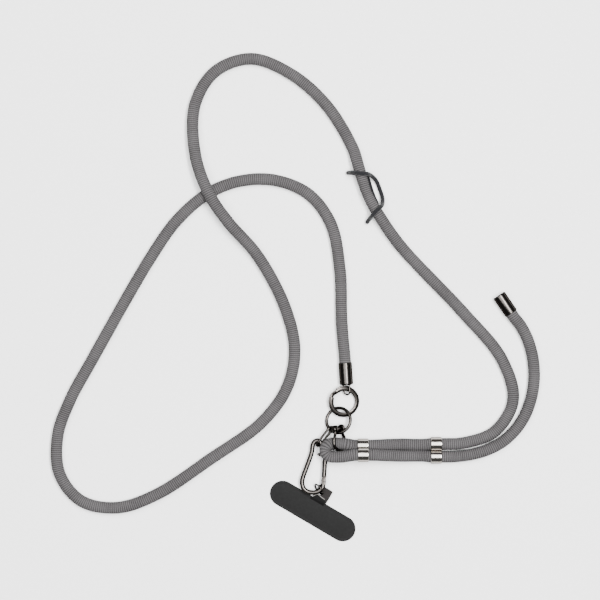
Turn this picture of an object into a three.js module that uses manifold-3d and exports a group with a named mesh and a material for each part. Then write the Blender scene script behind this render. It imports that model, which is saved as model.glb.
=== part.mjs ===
// A phone crossbody strap laid out flat: a round cord with a metal cap on each end, folded back on
// itself through two double barrel sliders, a shackle round the fold, a chain of rings, a pear
// shaped carabiner with a sprung gate, and a flat tab that sits between a phone and its case.
// Lengths are in millimetres and angles in degrees. +Z is up, and the strap lies on z = 0.

import * as THREE from 'three';
import { mergeVertices } from 'three/addons/utils/BufferGeometryUtils.js';
import Module from 'manifold-3d';

const wasm = await Module();
wasm.setup();

// Driving dimensions

const clearance = 0.3; // between pieces that touch or run in each other
const ropeSize = 8; // diameter of the cord

const barrelWall = 0.6;
const barrelWeb = 0.4; // metal left between a slider's two bores
const barrelLength = 7.6;
const innerSliderRoll = 47; // the slider by the fold lies rolled, its near barrel uppermost

const capWall = 0.5;
const capLength = 15.5;
const capEndWall = 1.4;

const eyeWire = 1.2;
const eyeHalfWidth = 2.45; // from the cap's axis to the middle of the eye's wire
const eyeReach = 4.8; // from the cap's end to the centre of the eye's bend
const eyeRoll = 38; // the eye is turned about the cap's axis

const splitRingOuter = 21.8;
const splitRingBand = 2.8; // radial width of its flat wire
const splitRingCoil = 0.85; // thickness of each of its two coils
const splitRingStep = 126; // direction of the step between the coils

const linkRingOuter = 20.2;
const linkRingWire = 2.3;

const shackleWire = 2.1;
const shackleTilt = 53; // between the shackle's width and the table
const shackleLean = 5;
const shackleLift = 1.1; // its lowest wire above the table
const shackleShift = 4.9; // from the start of the cord's bend to the shackle's middle
const pinToCord = 9.9; // from the shackle's pin to the middle of the cord that it holds
const pinSize = 2;
const pinHeadSize = 3.6;
const pinHeadLength = 1.2;
const pinSlack = 0.3; // more between the pin's heads and the ears
const earSize = 5.6;
const earThickness = 2;
const earSpacing = 7.2; // between the middles of the two ears

const connectorWire = 1.4;
const connectorWidth = 6.6; // between the middles of its two sides
const connectorLength = 16.9; // between the middles of its two ends
const connectorTilt = 65;

const hookWire = 3.3;
const hookLength = 36.9; // between the middles of the wire at its two ends
const hookWidth = 15; // between the middles of the wire at its wide end
const hookTopHeight = 4; // of the wire's middle above the table, at the narrow end
const hookEndHeight = 5.25; // and at the wide end, which rests on the tab's strap
const hingePin = 1.1;
const hingeTongue = 1.1; // thickness of the gate's tongue
const catchGap = 2.31; // between the gate's tip and the catch
const catchWire = 1.7;

const tabLength = 68;
const tabWidth = 18.3;
const tabThickness = 0.8;
const tabTurn = -30.4; // direction of the tab's long axis
const tabStrapWidth = 10.9;
const tabStrapLayer = 0.6;
const tabStrapRise = 1.5; // height of the strap's free end above the table
const tabStrapReach = 10.2; // past the tab's edge
const tabHole = 4.6;
const tabRingSize = 8.2; // across the middle of its wire
const tabRingWire = 1.2;
const tabRingTilt = 66;

const keeperWire = 2.9; // the elastic ring that lies round the cord

// Places, in the plane of the table

const bight = { x: 26.4, y: -108.7 }; // centre of the cord's fold
// How far the cord climbs round its fold, in even steps of the turn
const bightClimb = [0, 0.3, 0.95, 1.7, 2.1, 2.35, 2.55, 2.75, 2.95, 3, 3.05, 3.15, 3.2];
const innerSlider = { x: 48, y: -108.8 };
const outerSlider = { x: 100.1, y: -109.1 };

const eyeCapPlace = { x: 36.3, y: -62.3, turn: -86.4 }; // closed end, and the direction it points in
const plainCapPlace = { x: 144.8, y: 1.3, turn: 124.4 };
const splitRingPlace = { x: 34.6, y: -74.5, z: 4.15, riseX: -0.22, riseY: 0.105 };
const linkRingPlace = { x: 30.6, y: -87.8, z: 5.1, riseX: 0.38, riseY: -0.244 };
const connectorPlace = { x: 20.85, y: -99.2, z: 4.15, turn: 53.1, slope: 0.07, tilt: connectorTilt };
const hookTop = { x: 12.2, y: -102.2 }; // middle of its narrow end, inside the connector
const hookEnd = { x: hookTop.x, y: hookTop.y - hookLength }; // middle of its wide end
const tabPlace = { x: hookEnd.x + 4.7, y: hookEnd.y - 5.8 }; // middle of the tab's upper edge
const tabEyelet = { x: -2, y: 5 }; // from there, along the tab's edge and out from it
const tabRingPlace = { x: hookEnd.x + 4.5, y: hookEnd.y + 2.3, z: 4.45, turn: 126, tilt: -tabRingTilt };
const layoutMiddle = { x: -0.23, y: -0.12 }; // comes to the origin

// The cord's long run, from the cap with the eye to the outer slider. lift is the height of its
// middle above where it lies on the table, in diameters of the cord.
const longRoute = [
  { x: 32.9, y: -18, lift: 0 }, { x: 31.6, y: 20, lift: 0 }, { x: 25.2, y: 52, lift: 0 },
  { x: 9.5, y: 73, lift: 0 }, { x: -14, y: 83, lift: 0 }, { x: -39, y: 82.6, lift: 0 },
  { x: -61.8, y: 73.9, lift: 0 }, { x: -84, y: 55, lift: 0 }, { x: -104, y: 26.5, lift: 0 },
  { x: -144.5, y: -44.3, lift: 0 }, { x: -160.7, y: -73.9, lift: 0 }, { x: -169.3, y: -99, lift: 0 },
  { x: -167.9, y: -126, lift: 0 }, { x: -152.5, y: -145.2, lift: 0 }, { x: -127, y: -150, lift: 0 },
  { x: -99, y: -140.7, lift: 0 }, { x: -60, y: -115, lift: 0 }, { x: -24, y: -89.3, lift: 0 },
  { x: -5.8, y: -64, lift: 0 }, { x: -0.6, y: -37, lift: 0.01 }, { x: -8, y: -6, lift: 0.05 },
  { x: -27, y: 29.5, lift: 0.3 }, { x: -47.9, y: 53.3, lift: 0.86 }, { x: -61.2, y: 73, lift: 1.08 },
  { x: -71.3, y: 102, lift: 0.5 }, { x: -71.5, y: 137, lift: 0.07 }, { x: -57, y: 160.6, lift: 0.01 },
  { x: -31.5, y: 170.3, lift: 0 }, { x: -3, y: 159, lift: 0 }, { x: 22.5, y: 136, lift: 0.02 },
  { x: 40.5, y: 106.5, lift: 0.04 }, { x: 45.2, y: 92, lift: 0.4 }, { x: 51.5, y: 73, lift: 0.42 },
  { x: 60, y: 57.8, lift: 0.4 }, { x: 75, y: 36, lift: 0.07 },
  { x: 119.2, y: -10.8, lift: 0.02 }, { x: 147.3, y: -45, lift: 0 }, { x: 154.9, y: -74, lift: 0 },
  { x: 141.5, y: -96, lift: 0 }, { x: 119, y: -104, lift: 0.05 },
];

// The cord's tail, from the outer slider to the plain cap.
const tailRoute = [
  { x: 115.3, y: -113.4, lift: 0.02 }, { x: 126.5, y: -111.8, lift: 0.01 }, { x: 137.5, y: -108.4, lift: 0 },
  { x: 147.7, y: -102.8, lift: 0 }, { x: 156.2, y: -95, lift: 0 }, { x: 162.7, y: -85.6, lift: 0 },
  { x: 167, y: -75, lift: 0 }, { x: 169.4, y: -64, lift: 0 }, { x: 169.9, y: -52.6, lift: 0 },
  { x: 168.5, y: -41.1, lift: 0 }, { x: 165.2, y: -30, lift: 0.02 }, { x: 160.2, y: -20.4, lift: 0.06 },
];

// The keeper in plan, a thick elastic ring drawn out flat. Its upper side runs from tip to tip over the
// cord, out beside it in an arc and back over it; its lower side runs back under the cord.
const keeperOver = [
  [38.9, 88.4], [40.4, 88.2], [43.4, 87.9], [46.8, 87.5], [50.3, 87.3], [53.6, 86.5], [56.2, 84.4],
  [58, 82], [59.3, 79], [60.6, 75.4], [61.6, 72.3], [62.1, 69.3], [61.8, 66.2], [60.2, 63.6],
  [57.4, 61.1], [54.7, 58.1], [53, 56], [52, 54.6],
];
const keeperTip = [51.1, 53.3];
const keeperUnder = [
  [52, 54.6], [53.3, 56.4], [55.4, 58.9], [57.3, 61.4], [58.3, 64.2], [57.9, 67], [56.3, 70.4], [54.6, 74.9],
  [53.3, 79], [52.2, 83], [50.8, 86], [48.2, 87.5], [44, 88.2], [40.4, 88.4], [38.9, 88.5],
];
const keeperBackTip = [37.4, 88.45];

// Shapes of the carabiner's wire, as shares of its width and length from the middle of its wide end:
// the body from its nose over the narrow end and round the wide one, and the catch inside the nose.
const hookBody = [
  { across: 0.55, along: 0.735 }, { across: 0.5, along: 0.82 }, { across: 0.44, along: 0.905 },
  { across: 0.36, along: 0.972 }, { across: 0.22, along: 1 }, { across: 0.08, along: 0.972 },
  { across: 0, along: 0.905 }, { across: -0.015, along: 0.84 }, { across: -0.05, along: 0.76 },
  { across: -0.155, along: 0.63 }, { across: -0.32, along: 0.45 }, { across: -0.45, along: 0.305 },
  { across: -0.5, along: 0.195 }, { across: -0.425, along: 0.08 }, { across: -0.24, along: 0.018 },
  { across: 0, along: 0 }, { across: 0.25, along: 0.02 }, { across: 0.44, along: 0.085 },
  { across: 0.515, along: 0.165 },
];
const hookCatch = [
  { across: 0.54, along: 0.735 }, { across: 0.38, along: 0.715 }, { across: 0.235, along: 0.75 },
];
const hingeAt = { across: 0.525, along: 0.232 };
const gateBend = [0.01, 0.065]; // how far across from the hinge the gate's bar starts and ends

// Sizes that follow from those above

const ropeRadius = ropeSize / 2;
const bore = ropeRadius + clearance;
const barrelRadius = bore + barrelWall;
const barrelPitch = 2 * bore + barrelWeb;
const capRadius = bore + capWall;
const foldRadius = ropeRadius + shackleWire / 2 + clearance;
const innerReach = barrelPitch / 2 * Math.cos(THREE.MathUtils.degToRad(innerSliderRoll));
const innerRise = barrelPitch * Math.sin(THREE.MathUtils.degToRad(innerSliderRoll));
const outerReach = barrelPitch / 2;
const hookRadius = hookWire / 2;
const gateLength = (hookCatch[0].along - hingeAt.along) * hookLength - catchWire / 2 - catchGap;

// Finishes

const finishes = {
  cord: { color: 0x7c7678, roughness: 0.92, metalness: 0 },
  gunmetal: { color: 0x55524f, roughness: 0.2, metalness: 1 },
  steel: { color: 0x8d8a86, roughness: 0.24, metalness: 1 },
  tab: { color: 0x383838, roughness: 0.62, metalness: 0 },
  webbing: { color: 0x2b2827, roughness: 0.7, metalness: 0 },
  elastic: { color: 0x1c1b1b, roughness: 0.8, metalness: 0 },
};

// Helpers

const rad = THREE.MathUtils.degToRad;
const vec = (x, y, z = 0) => new THREE.Vector3(x, y, z);

/** A smooth curve whose steps follow the spacing of its points, so close points give short steps. */
class StepCurve extends THREE.CatmullRomCurve3 {
  getUtoTmapping(u) {
    return u;
  }
}

/** The outline of a regular section with that many sides. */
function roundSection(radius, sides) {
  const points = [];
  for (let i = 0; i < sides; i++) {
    const angle = (i + 0.5) / sides * 2 * Math.PI;
    points.push(new THREE.Vector2(radius * Math.cos(angle), radius * Math.sin(angle)));
  }
  return new THREE.Shape(points);
}

/** A rod along an open curve, closed at both ends. */
function rod(curve, radius, steps, sides = 8) {
  const section = roundSection(radius, sides);
  return new THREE.ExtrudeGeometry(section, { steps, extrudePath: curve, bevelEnabled: false });
}

/** A ring of round wire in the XY plane. */
function wireRing(radius, wire, sides = 8, steps = 36) {
  return new THREE.TorusGeometry(radius, wire / 2, sides, steps);
}

/** A solid turned about the Y axis, from [radius, height] pairs that start and end on the axis. */
function turned(profile, segments = 24) {
  return new THREE.LatheGeometry(profile.map(([r, y]) => new THREE.Vector2(r, y)), segments);
}

/** The geometry as a solid that can be joined and cut. */
function solid(geometry, matrix = new THREE.Matrix4()) {
  const bare = geometry.clone().applyMatrix4(matrix);
  bare.deleteAttribute('normal');
  bare.deleteAttribute('uv');
  const merged = mergeVertices(bare, 1e-4);
  const kept = [];
  const index = merged.index.array;
  for (let i = 0; i < index.length; i += 3) {
    const [a, b, c] = [index[i], index[i + 1], index[i + 2]];
    if (a !== b && b !== c && c !== a) kept.push(a, b, c);
  }
  return new wasm.Manifold(new wasm.Mesh({
    numProp: 3,
    vertProperties: new Float32Array(merged.attributes.position.array),
    triVerts: new Uint32Array(kept),
  }));
}

/** A joined or cut solid as a geometry. */
function geometryOf(body) {
  const mesh = body.getMesh();
  const geometry = new THREE.BufferGeometry();
  geometry.setAttribute('position', new THREE.BufferAttribute(new Float32Array(mesh.vertProperties), 3));
  geometry.setIndex(new THREE.BufferAttribute(new Uint32Array(mesh.triVerts), 1));
  return geometry;
}

/** A matrix that puts the local axes along x, y and z at a point. */
function frameAt(origin, x, y, z) {
  return new THREE.Matrix4().makeBasis(x, y, z).setPosition(origin);
}

/** A named mesh with its own material. */
function piece(name, geometry, finish, matrix = new THREE.Matrix4()) {
  const mesh = new THREE.Mesh(geometry, new THREE.MeshStandardMaterial(finishes[finish]));
  mesh.name = name;
  mesh.applyMatrix4(matrix);
  return mesh;
}

/** The axes of a ring or link from the direction of its long axis in plan, its slope and its tilt. */
function tiltedAxes(along, tilt) {
  const x = along.clone().normalize();
  const level = vec(-x.y, x.x).normalize();
  const upright = x.clone().cross(level).normalize();
  const y = level.clone().multiplyScalar(Math.cos(rad(tilt))).addScaledVector(upright, Math.sin(rad(tilt)));
  return { x, y, z: x.clone().cross(y) };
}

// The cord

/** Route points as places of the cord's middle. */
function routePoints(route) {
  return route.map(({ x, y, lift }) => vec(x, y, ropeRadius + lift * ropeSize));
}

/** A stretch of the cord through those places. */
function cordRun(points, stepsEach = 2) {
  return rod(new StepCurve(points, false, 'centripetal'), ropeRadius, (points.length - 1) * stepsEach, 10);
}

/** Places along the folded stretch, from the outer slider's upper barrel round to its lower one. */
function foldPoints() {
  const leg = (side, outerHeight, innerHeight, bightHeight) => {
    const outer = (x) => vec(outerSlider.x + x, outerSlider.y + side * outerReach, outerHeight);
    const inner = (x) => vec(innerSlider.x + x, innerSlider.y + side * innerReach, innerHeight);
    const half = barrelLength / 2;
    return [
      outer(-clearance / 2), outer(-half), outer(-half - 3),
      vec((outerSlider.x + innerSlider.x) / 2, innerSlider.y + side * 4, (outerHeight + innerHeight) / 2),
      inner(half + 3), inner(half), inner(-half), inner(-half - 2),
      vec(bight.x + shackleShift + 5.8, bight.y + side * foldRadius, bightHeight),
    ];
  };
  const low = barrelRadius;
  const held = shackleHeight();
  const bend = bightClimb.map((climb, i) => {
    const turn = 90 + 180 * i / (bightClimb.length - 1);
    const [right, up] = [foldRadius * Math.cos(rad(turn)), foldRadius * Math.sin(rad(turn))];
    return vec(bight.x + right, bight.y + up, held + climb);
  });
  const high = low + innerRise;
  return [...leg(1, low, low, held), ...bend, ...leg(-1, low, high, high - 0.6).reverse()];
}

// Sliders, caps and rings

/** A slider: two barrels side by side, with their bores along X and their pitch along Y. */
function sliderGeometry() {
  const outline = new THREE.Shape();
  const waist = Math.acos(barrelPitch / 2 / barrelRadius);
  outline.absarc(barrelPitch / 2, 0, barrelRadius, Math.PI + waist, 3 * Math.PI - waist, false);
  outline.absarc(-barrelPitch / 2, 0, barrelRadius, waist, 2 * Math.PI - waist, false);
  for (const side of [1, -1]) {
    const hole = new THREE.Path();
    hole.absarc(side * barrelPitch / 2, 0, bore, 0, 2 * Math.PI, true);
    outline.holes.push(hole);
  }
  const settings = { depth: barrelLength, bevelEnabled: false, curveSegments: 20 };
  return new THREE.ExtrudeGeometry(outline, settings).translate(0, 0, -barrelLength / 2);
}

/** A slider rolled about the cord, lying on the table. */
function slider(name, place, roll) {
  const across = vec(0, Math.cos(rad(roll)), -Math.sin(rad(roll)));
  const height = barrelRadius + barrelPitch / 2 * Math.sin(rad(roll));
  const along = vec(1, 0, 0);
  const frame = frameAt(vec(place.x, place.y, height), across, along.clone().cross(across), along);
  return piece(name, sliderGeometry(), 'steel', frame);
}

/** A cup over the cord's end, its closed end at the origin and its mouth towards -Y. */
function capGeometry() {
  const edge = 0.4;
  return turned([
    [0, -capEndWall], [bore, -capEndWall], [bore, -capLength + edge], [bore + 0.1, -capLength],
    [capRadius - 0.1, -capLength], [capRadius, -capLength + edge], [capRadius, -edge], [capRadius - edge, 0],
    [0, 0],
  ]);
}

/** The cap with its eye, a bent wire soldered to the closed end. */
function eyeCapGeometry() {
  const points = [vec(-eyeHalfWidth, -0.7), vec(-eyeHalfWidth, eyeReach / 2)];
  for (let turn = 180; turn >= 0; turn -= 30) {
    points.push(vec(eyeHalfWidth * Math.cos(rad(turn)), eyeReach + eyeHalfWidth * Math.sin(rad(turn))));
  }
  points.push(vec(eyeHalfWidth, eyeReach / 2), vec(eyeHalfWidth, -0.7));
  const eye = rod(new StepCurve(points, false, 'centripetal'), eyeWire / 2, 20);
  return geometryOf(solid(capGeometry()).add(solid(eye, new THREE.Matrix4().makeRotationY(rad(eyeRoll)))));
}

/** A split ring: a flat wire wound twice round, stepping up by one coil at one place. */
function splitRingGeometry() {
  const radius = (splitRingOuter - splitRingBand) / 2;
  const rise = splitRingCoil + 0.12;
  const steps = 72;
  const stepTurn = 25;
  const total = 720 - stepTurn - 8;
  const points = [];
  for (let i = 0; i <= steps; i++) {
    const turn = total * i / steps;
    const climb = THREE.MathUtils.smoothstep(turn, 360 - stepTurn, 360);
    const angle = rad(splitRingStep - turn);
    points.push(vec(radius * Math.cos(angle), radius * Math.sin(angle), rise * (climb - 0.5)));
  }
  const [w, t, edge] = [splitRingBand / 2, splitRingCoil / 2, 0.25];
  const section = new THREE.Shape([
    [t, -w + edge], [t, w - edge], [t - edge, w], [edge - t, w],
    [-t, w - edge], [-t, edge - w], [edge - t, -w], [t - edge, -w],
  ].map(([a, b]) => new THREE.Vector2(a, b)));
  return flatSweep(section, new StepCurve(points), steps);
}

/** A section carried along a nearly level path, its first axis kept upright and its second level. */
function flatSweep(section, path, steps) {
  const frames = { tangents: [], normals: [], binormals: [] };
  for (let i = 0; i <= steps; i++) {
    const tangent = path.getTangentAt(i / steps).normalize();
    const level = vec(0, 0, 1).cross(tangent).normalize().negate();
    frames.tangents.push(tangent);
    frames.binormals.push(level);
    frames.normals.push(level.clone().cross(tangent).normalize());
  }
  path.computeFrenetFrames = () => frames;
  return new THREE.ExtrudeGeometry(section, { steps, extrudePath: path, bevelEnabled: false });
}

// The shackle, worked out in its own plane: the pin at the origin, the ears to either side along X
// and the bow round the cord below them along -Y

/** Height of the cord's middle where the shackle holds it, so that the bow clears the table. */
function shackleHeight() {
  return shackleHalfWidth() * Math.sin(rad(shackleTilt)) + shackleWire / 2 + shackleLift;
}

/** Half the bow's width: the tilted bow cuts the cord in an ellipse. */
function shackleHalfWidth() {
  return (ropeRadius + shackleWire / 2 + clearance) / Math.sin(rad(shackleTilt));
}

function shackleFrame() {
  const tilt = rad(shackleTilt);
  const x = vec(Math.cos(tilt), 0, -Math.sin(tilt)).applyAxisAngle(vec(0, 0, 1), rad(shackleLean));
  const y = vec(0, 1, 0).applyAxisAngle(vec(0, 0, 1), rad(shackleLean));
  const heldCord = vec(bight.x + shackleShift, bight.y + foldRadius, shackleHeight());
  return frameAt(heldCord.addScaledVector(y, pinToCord), x, y, x.clone().cross(y));
}

function shackleBowGeometry() {
  const [halfWidth, depth] = [shackleHalfWidth(), ropeRadius + shackleWire / 2 + clearance];
  const ear = earSpacing / 2;
  const points = [vec(-ear, -1), vec(-ear - 0.25 * (halfWidth - ear), -pinToCord * 0.36)];
  points.push(vec(-ear - 0.8 * (halfWidth - ear), -pinToCord * 0.68));
  for (let turn = 180; turn <= 360; turn += 22.5) {
    points.push(vec(halfWidth * Math.cos(rad(turn)), -pinToCord + depth * Math.sin(rad(turn))));
  }
  points.push(vec(ear + 0.8 * (halfWidth - ear), -pinToCord * 0.68));
  points.push(vec(ear + 0.25 * (halfWidth - ear), -pinToCord * 0.36), vec(ear, -1));
  let bow = solid(rod(new StepCurve(points, false, 'centripetal'), shackleWire / 2, 28));
  const acrossPin = new THREE.Matrix4().makeRotationZ(Math.PI / 2);
  for (const side of [-1, 1]) {
    const place = new THREE.Matrix4().makeTranslation(side * ear, 0, 0).multiply(acrossPin);
    bow = bow.add(solid(new THREE.CylinderGeometry(earSize / 2, earSize / 2, earThickness, 20), place));
  }
  const holeRadius = pinSize / 2 + clearance;
  const hole = new THREE.CylinderGeometry(holeRadius, holeRadius, 2 * earSpacing, 16);
  return geometryOf(bow.subtract(solid(hole, acrossPin)));
}

/** The shackle's pin, its head on the upper ear. */
function shacklePinGeometry() {
  const out = earSpacing / 2 + earThickness / 2 + clearance + pinSlack;
  const geometry = turned([
    [0, -out], [pinSize / 2, -out], [pinSize / 2, out], [pinHeadSize / 2, out],
    [pinHeadSize / 2, out + pinHeadLength - 0.3], [pinHeadSize / 2 - 0.3, out + pinHeadLength],
    [0, out + pinHeadLength],
  ], 16);
  return geometry.rotateZ(Math.PI / 2);
}

// The carabiner, worked out flat: the middle of its wide end at the origin, its narrow end along +Y

const hookPoint = ({ across, along }) => vec(across * hookWidth, along * hookLength);

function hookFrame() {
  const y = vec(0, hookLength, hookTopHeight - hookEndHeight).normalize();
  const x = vec(1, 0, 0);
  return frameAt(vec(hookEnd.x, hookEnd.y, hookEndHeight), x, y, x.clone().cross(y));
}

/** A cylinder square to the carabiner's plane. */
function hingeCylinder(radius, length, sides = 14) {
  return new THREE.CylinderGeometry(radius, radius, length, sides).rotateX(Math.PI / 2);
}

function hookBodyGeometry() {
  const hinge = hookPoint(hingeAt);
  const atHinge = new THREE.Matrix4().setPosition(hinge);
  const path = new StepCurve([...hookBody.map(hookPoint), hinge], false, 'centripetal');
  const wire = solid(rod(path, hookRadius, 2 * hookBody.length, 10));
  const catchBar = solid(rod(new StepCurve(hookCatch.map(hookPoint)), catchWire / 2, 6));
  const knuckle = solid(hingeCylinder(hookRadius, hookWire), atHinge);
  const slotSize = 2 * hookWire + 2;
  const slot = new THREE.BoxGeometry(slotSize, slotSize, hingeTongue + 2 * clearance);
  const slotAt = hinge.clone().add(vec(0, slotSize / 2 - hookRadius - clearance, 0));
  const pin = solid(hingeCylinder(hingePin / 2, hookWire), atHinge);
  const body = wire.add(catchBar).add(knuckle).subtract(solid(slot, new THREE.Matrix4().setPosition(slotAt)));
  return geometryOf(body.add(pin));
}

/** The gate, its tongue on the hinge's pin and its bar up to the catch. */
function gateGeometry() {
  const hinge = hookPoint(hingeAt);
  const atHinge = new THREE.Matrix4().setPosition(hinge);
  const barStart = hookRadius + clearance + 0.2;
  const ends = [barStart, gateLength - hookRadius].map(
    (y, i) => hinge.clone().add(vec(gateBend[i] * hookWidth, y)),
  );
  const bar = solid(rod(new THREE.LineCurve3(...ends), hookRadius, 2, 10));
  const tip = new THREE.SphereGeometry(hookRadius * 0.995, 10, 8);
  const tongueEye = solid(hingeCylinder(hookRadius - 0.1, hingeTongue), atHinge);
  const neck = new THREE.BoxGeometry(hookWire - 0.4, barStart + 1, hingeTongue);
  const neckAt = new THREE.Matrix4().setPosition(hinge.clone().add(vec(0.4, (barStart + 1) / 2, 0)));
  const hole = solid(hingeCylinder(hingePin / 2 + clearance, 2 * hookWire), atHinge);
  const topAt = new THREE.Matrix4().setPosition(ends[1]);
  const gate = bar.add(solid(tip, topAt)).add(tongueEye).add(solid(neck, neckAt));
  return geometryOf(gate.subtract(hole));
}

// The tab, worked out flat: the middle of its upper long edge at the origin, its strap along +Y

function tabFrame() {
  const x = vec(Math.cos(rad(tabTurn)), Math.sin(rad(tabTurn)));
  const y = vec(-x.y, x.x);
  return frameAt(vec(tabPlace.x, tabPlace.y), x, y, vec(0, 0, 1));
}

/** The flat pad with round ends, and the gusset beside its strap. */
function tabGeometry() {
  const half = tabLength / 2 - tabWidth / 2;
  const outline = new THREE.Shape();
  outline.absarc(-half, -tabWidth / 2, tabWidth / 2, Math.PI / 2, 3 * Math.PI / 2, false);
  outline.absarc(half, -tabWidth / 2, tabWidth / 2, -Math.PI / 2, Math.PI / 2, false);
  outline.lineTo(tabStrapWidth * 0.37, 0);
  outline.lineTo(tabStrapWidth * 0.37, 2.4);
  outline.lineTo(-tabStrapWidth * 0.4, 2.9);
  outline.lineTo(-tabStrapWidth * 1.1, 0);
  return new THREE.ExtrudeGeometry(outline, { depth: tabThickness, bevelEnabled: false, curveSegments: 18 });
}

/** The strap on the tab: webbing sewn to the pad, raised and folded double past its edge, with an eyelet. */
function tabStrapGeometry() {
  const foot = tabThickness + clearance;
  const [layer, rise, reach] = [tabStrapLayer, tabStrapRise + 0.3, tabStrapReach];
  const side = new THREE.Shape([
    [-3, foot], [1.6, foot], [3, rise], [reach - 0.4, rise], [reach, rise + 0.4],
    [reach, rise + 2 * layer - 0.4], [reach - 0.4, rise + 2 * layer], [2.4, rise + 2 * layer],
    [1, foot + layer], [-3, foot + layer],
  ].map(([y, z]) => new THREE.Vector2(y, z)));
  const strap = new THREE.ExtrudeGeometry(side, { depth: tabStrapWidth, bevelEnabled: false });
  const turn = frameAt(vec(-tabStrapWidth / 2, 0, 0), vec(0, 1, 0), vec(0, 0, 1), vec(1, 0, 0));
  const hole = new THREE.CylinderGeometry(tabHole / 2, tabHole / 2, 20, 20).rotateX(Math.PI / 2);
  const holeAt = new THREE.Matrix4().makeTranslation(tabEyelet.x, tabEyelet.y, 0);
  return geometryOf(solid(strap, turn).subtract(solid(hole, holeAt)));
}

// Assembly

/** The places of the cord inside a cap and just outside it, from the closed end to the mouth. */
function capStretch({ x, y, turn }) {
  const inward = vec(Math.cos(rad(turn)), Math.sin(rad(turn)));
  return [capEndWall + clearance, capLength, capLength + 4].map(
    (depth) => vec(x, y, capRadius).addScaledVector(inward, -depth),
  );
}

/** The matrix of a cap: its closed end at the place, its mouth behind it. */
function capFrame({ x, y, turn }) {
  const out = vec(Math.cos(rad(turn)), Math.sin(rad(turn)));
  return frameAt(vec(x, y, capRadius), vec(out.y, -out.x), out, vec(0, 0, 1));
}

/** The matrix of a ring that lies on a slope, given as its rise per millimetre along X and Y. */
function slopeFrame({ x, y, z, riseX, riseY }) {
  const normal = vec(-riseX, -riseY, 1).normalize();
  const right = vec(1, 0, riseX).normalize();
  return frameAt(vec(x, y, z), right, normal.clone().cross(right), normal);
}

/** The matrix of a ring or link from its middle, the direction of its long axis and its tilt. */
function tiltFrame({ x, y, z, turn, slope = 0, tilt }) {
  const along = vec(Math.cos(rad(turn)), Math.sin(rad(turn)), slope).normalize();
  const { x: right, y: up, z: normal } = tiltedAxes(along, tilt);
  return frameAt(vec(x, y, z), right, up, normal);
}

/** A closed link with straight sides along X and half round ends. */
function linkGeometry(width, length, wire) {
  const radius = width / 2;
  const reach = length / 2 - radius;
  const points = [];
  for (let turn = -90; turn <= 90; turn += 30) {
    points.push(vec(reach + radius * Math.cos(rad(turn)), radius * Math.sin(rad(turn))));
  }
  for (let turn = 90; turn <= 270; turn += 30) {
    points.push(vec(-reach + radius * Math.cos(rad(turn)), radius * Math.sin(rad(turn))));
  }
  const path = new StepCurve(points, true, 'centripetal');
  return geometryOf(solid(new THREE.TubeGeometry(path, 2 * points.length, wire / 2, 8, true)));
}

/** The keeper: a closed wire, on the table under the cord and clear of it above. */
function keeperGeometry(cord) {
  const samples = cord.getPoints(500);
  const [radius, pitch] = [keeperWire / 2, keeperWire + clearance];
  const reach = ropeRadius + radius + 2 * clearance;
  const upper = keeperOver.map(([x, y], i) => {
    const away = (p) => Math.hypot(p.x - x, p.y - y);
    const near = samples.reduce((best, p) => (away(p) < away(best) ? p : best));
    const over = near.z + Math.sqrt(Math.max(0, reach * reach - away(near) ** 2));
    const beside = near.z - 1.3 * (away(near) - reach);
    const byTip = Math.min(i, keeperOver.length - 1 - i) < 2;
    return vec(x, y, Math.max(radius + (byTip ? pitch : 0), away(near) < reach ? over : beside));
  });
  const lower = keeperUnder.map(([x, y]) => vec(x, y, radius));
  const tip = ([x, y]) => vec(x, y, radius + pitch / 2);
  const corners = [...upper, tip(keeperTip), ...lower, tip(keeperBackTip)];
  const line = new StepCurve(corners, true, 'centripetal').getPoints(2 * corners.length).slice(1);
  const path = new StepCurve(line.map(({ x, y, z }) => vec(x, y, Math.max(radius, z))), true, 'centripetal');
  return geometryOf(solid(new THREE.TubeGeometry(path, line.length, radius, 8, true)));
}

const longPoints = [
  ...capStretch(eyeCapPlace),
  ...routePoints(longRoute),
  vec(outerSlider.x + barrelLength / 2 + 3, outerSlider.y + barrelPitch / 2, barrelRadius),
  vec(outerSlider.x + clearance / 2, outerSlider.y + barrelPitch / 2, barrelRadius),
];
const tailPoints = [
  vec(outerSlider.x + clearance / 2, outerSlider.y - barrelPitch / 2, barrelRadius),
  vec(outerSlider.x + barrelLength / 2 + 3, outerSlider.y - barrelPitch / 2, barrelRadius),
  ...routePoints(tailRoute),
  ...capStretch(plainCapPlace).reverse(),
];
const longCurve = new StepCurve(longPoints, false, 'centripetal');

const linkRing = wireRing((linkRingOuter - linkRingWire) / 2, linkRingWire);
const connector = linkGeometry(connectorWidth, connectorLength, connectorWire);
const tabRing = wireRing(tabRingSize / 2, tabRingWire, 8, 24);

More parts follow.
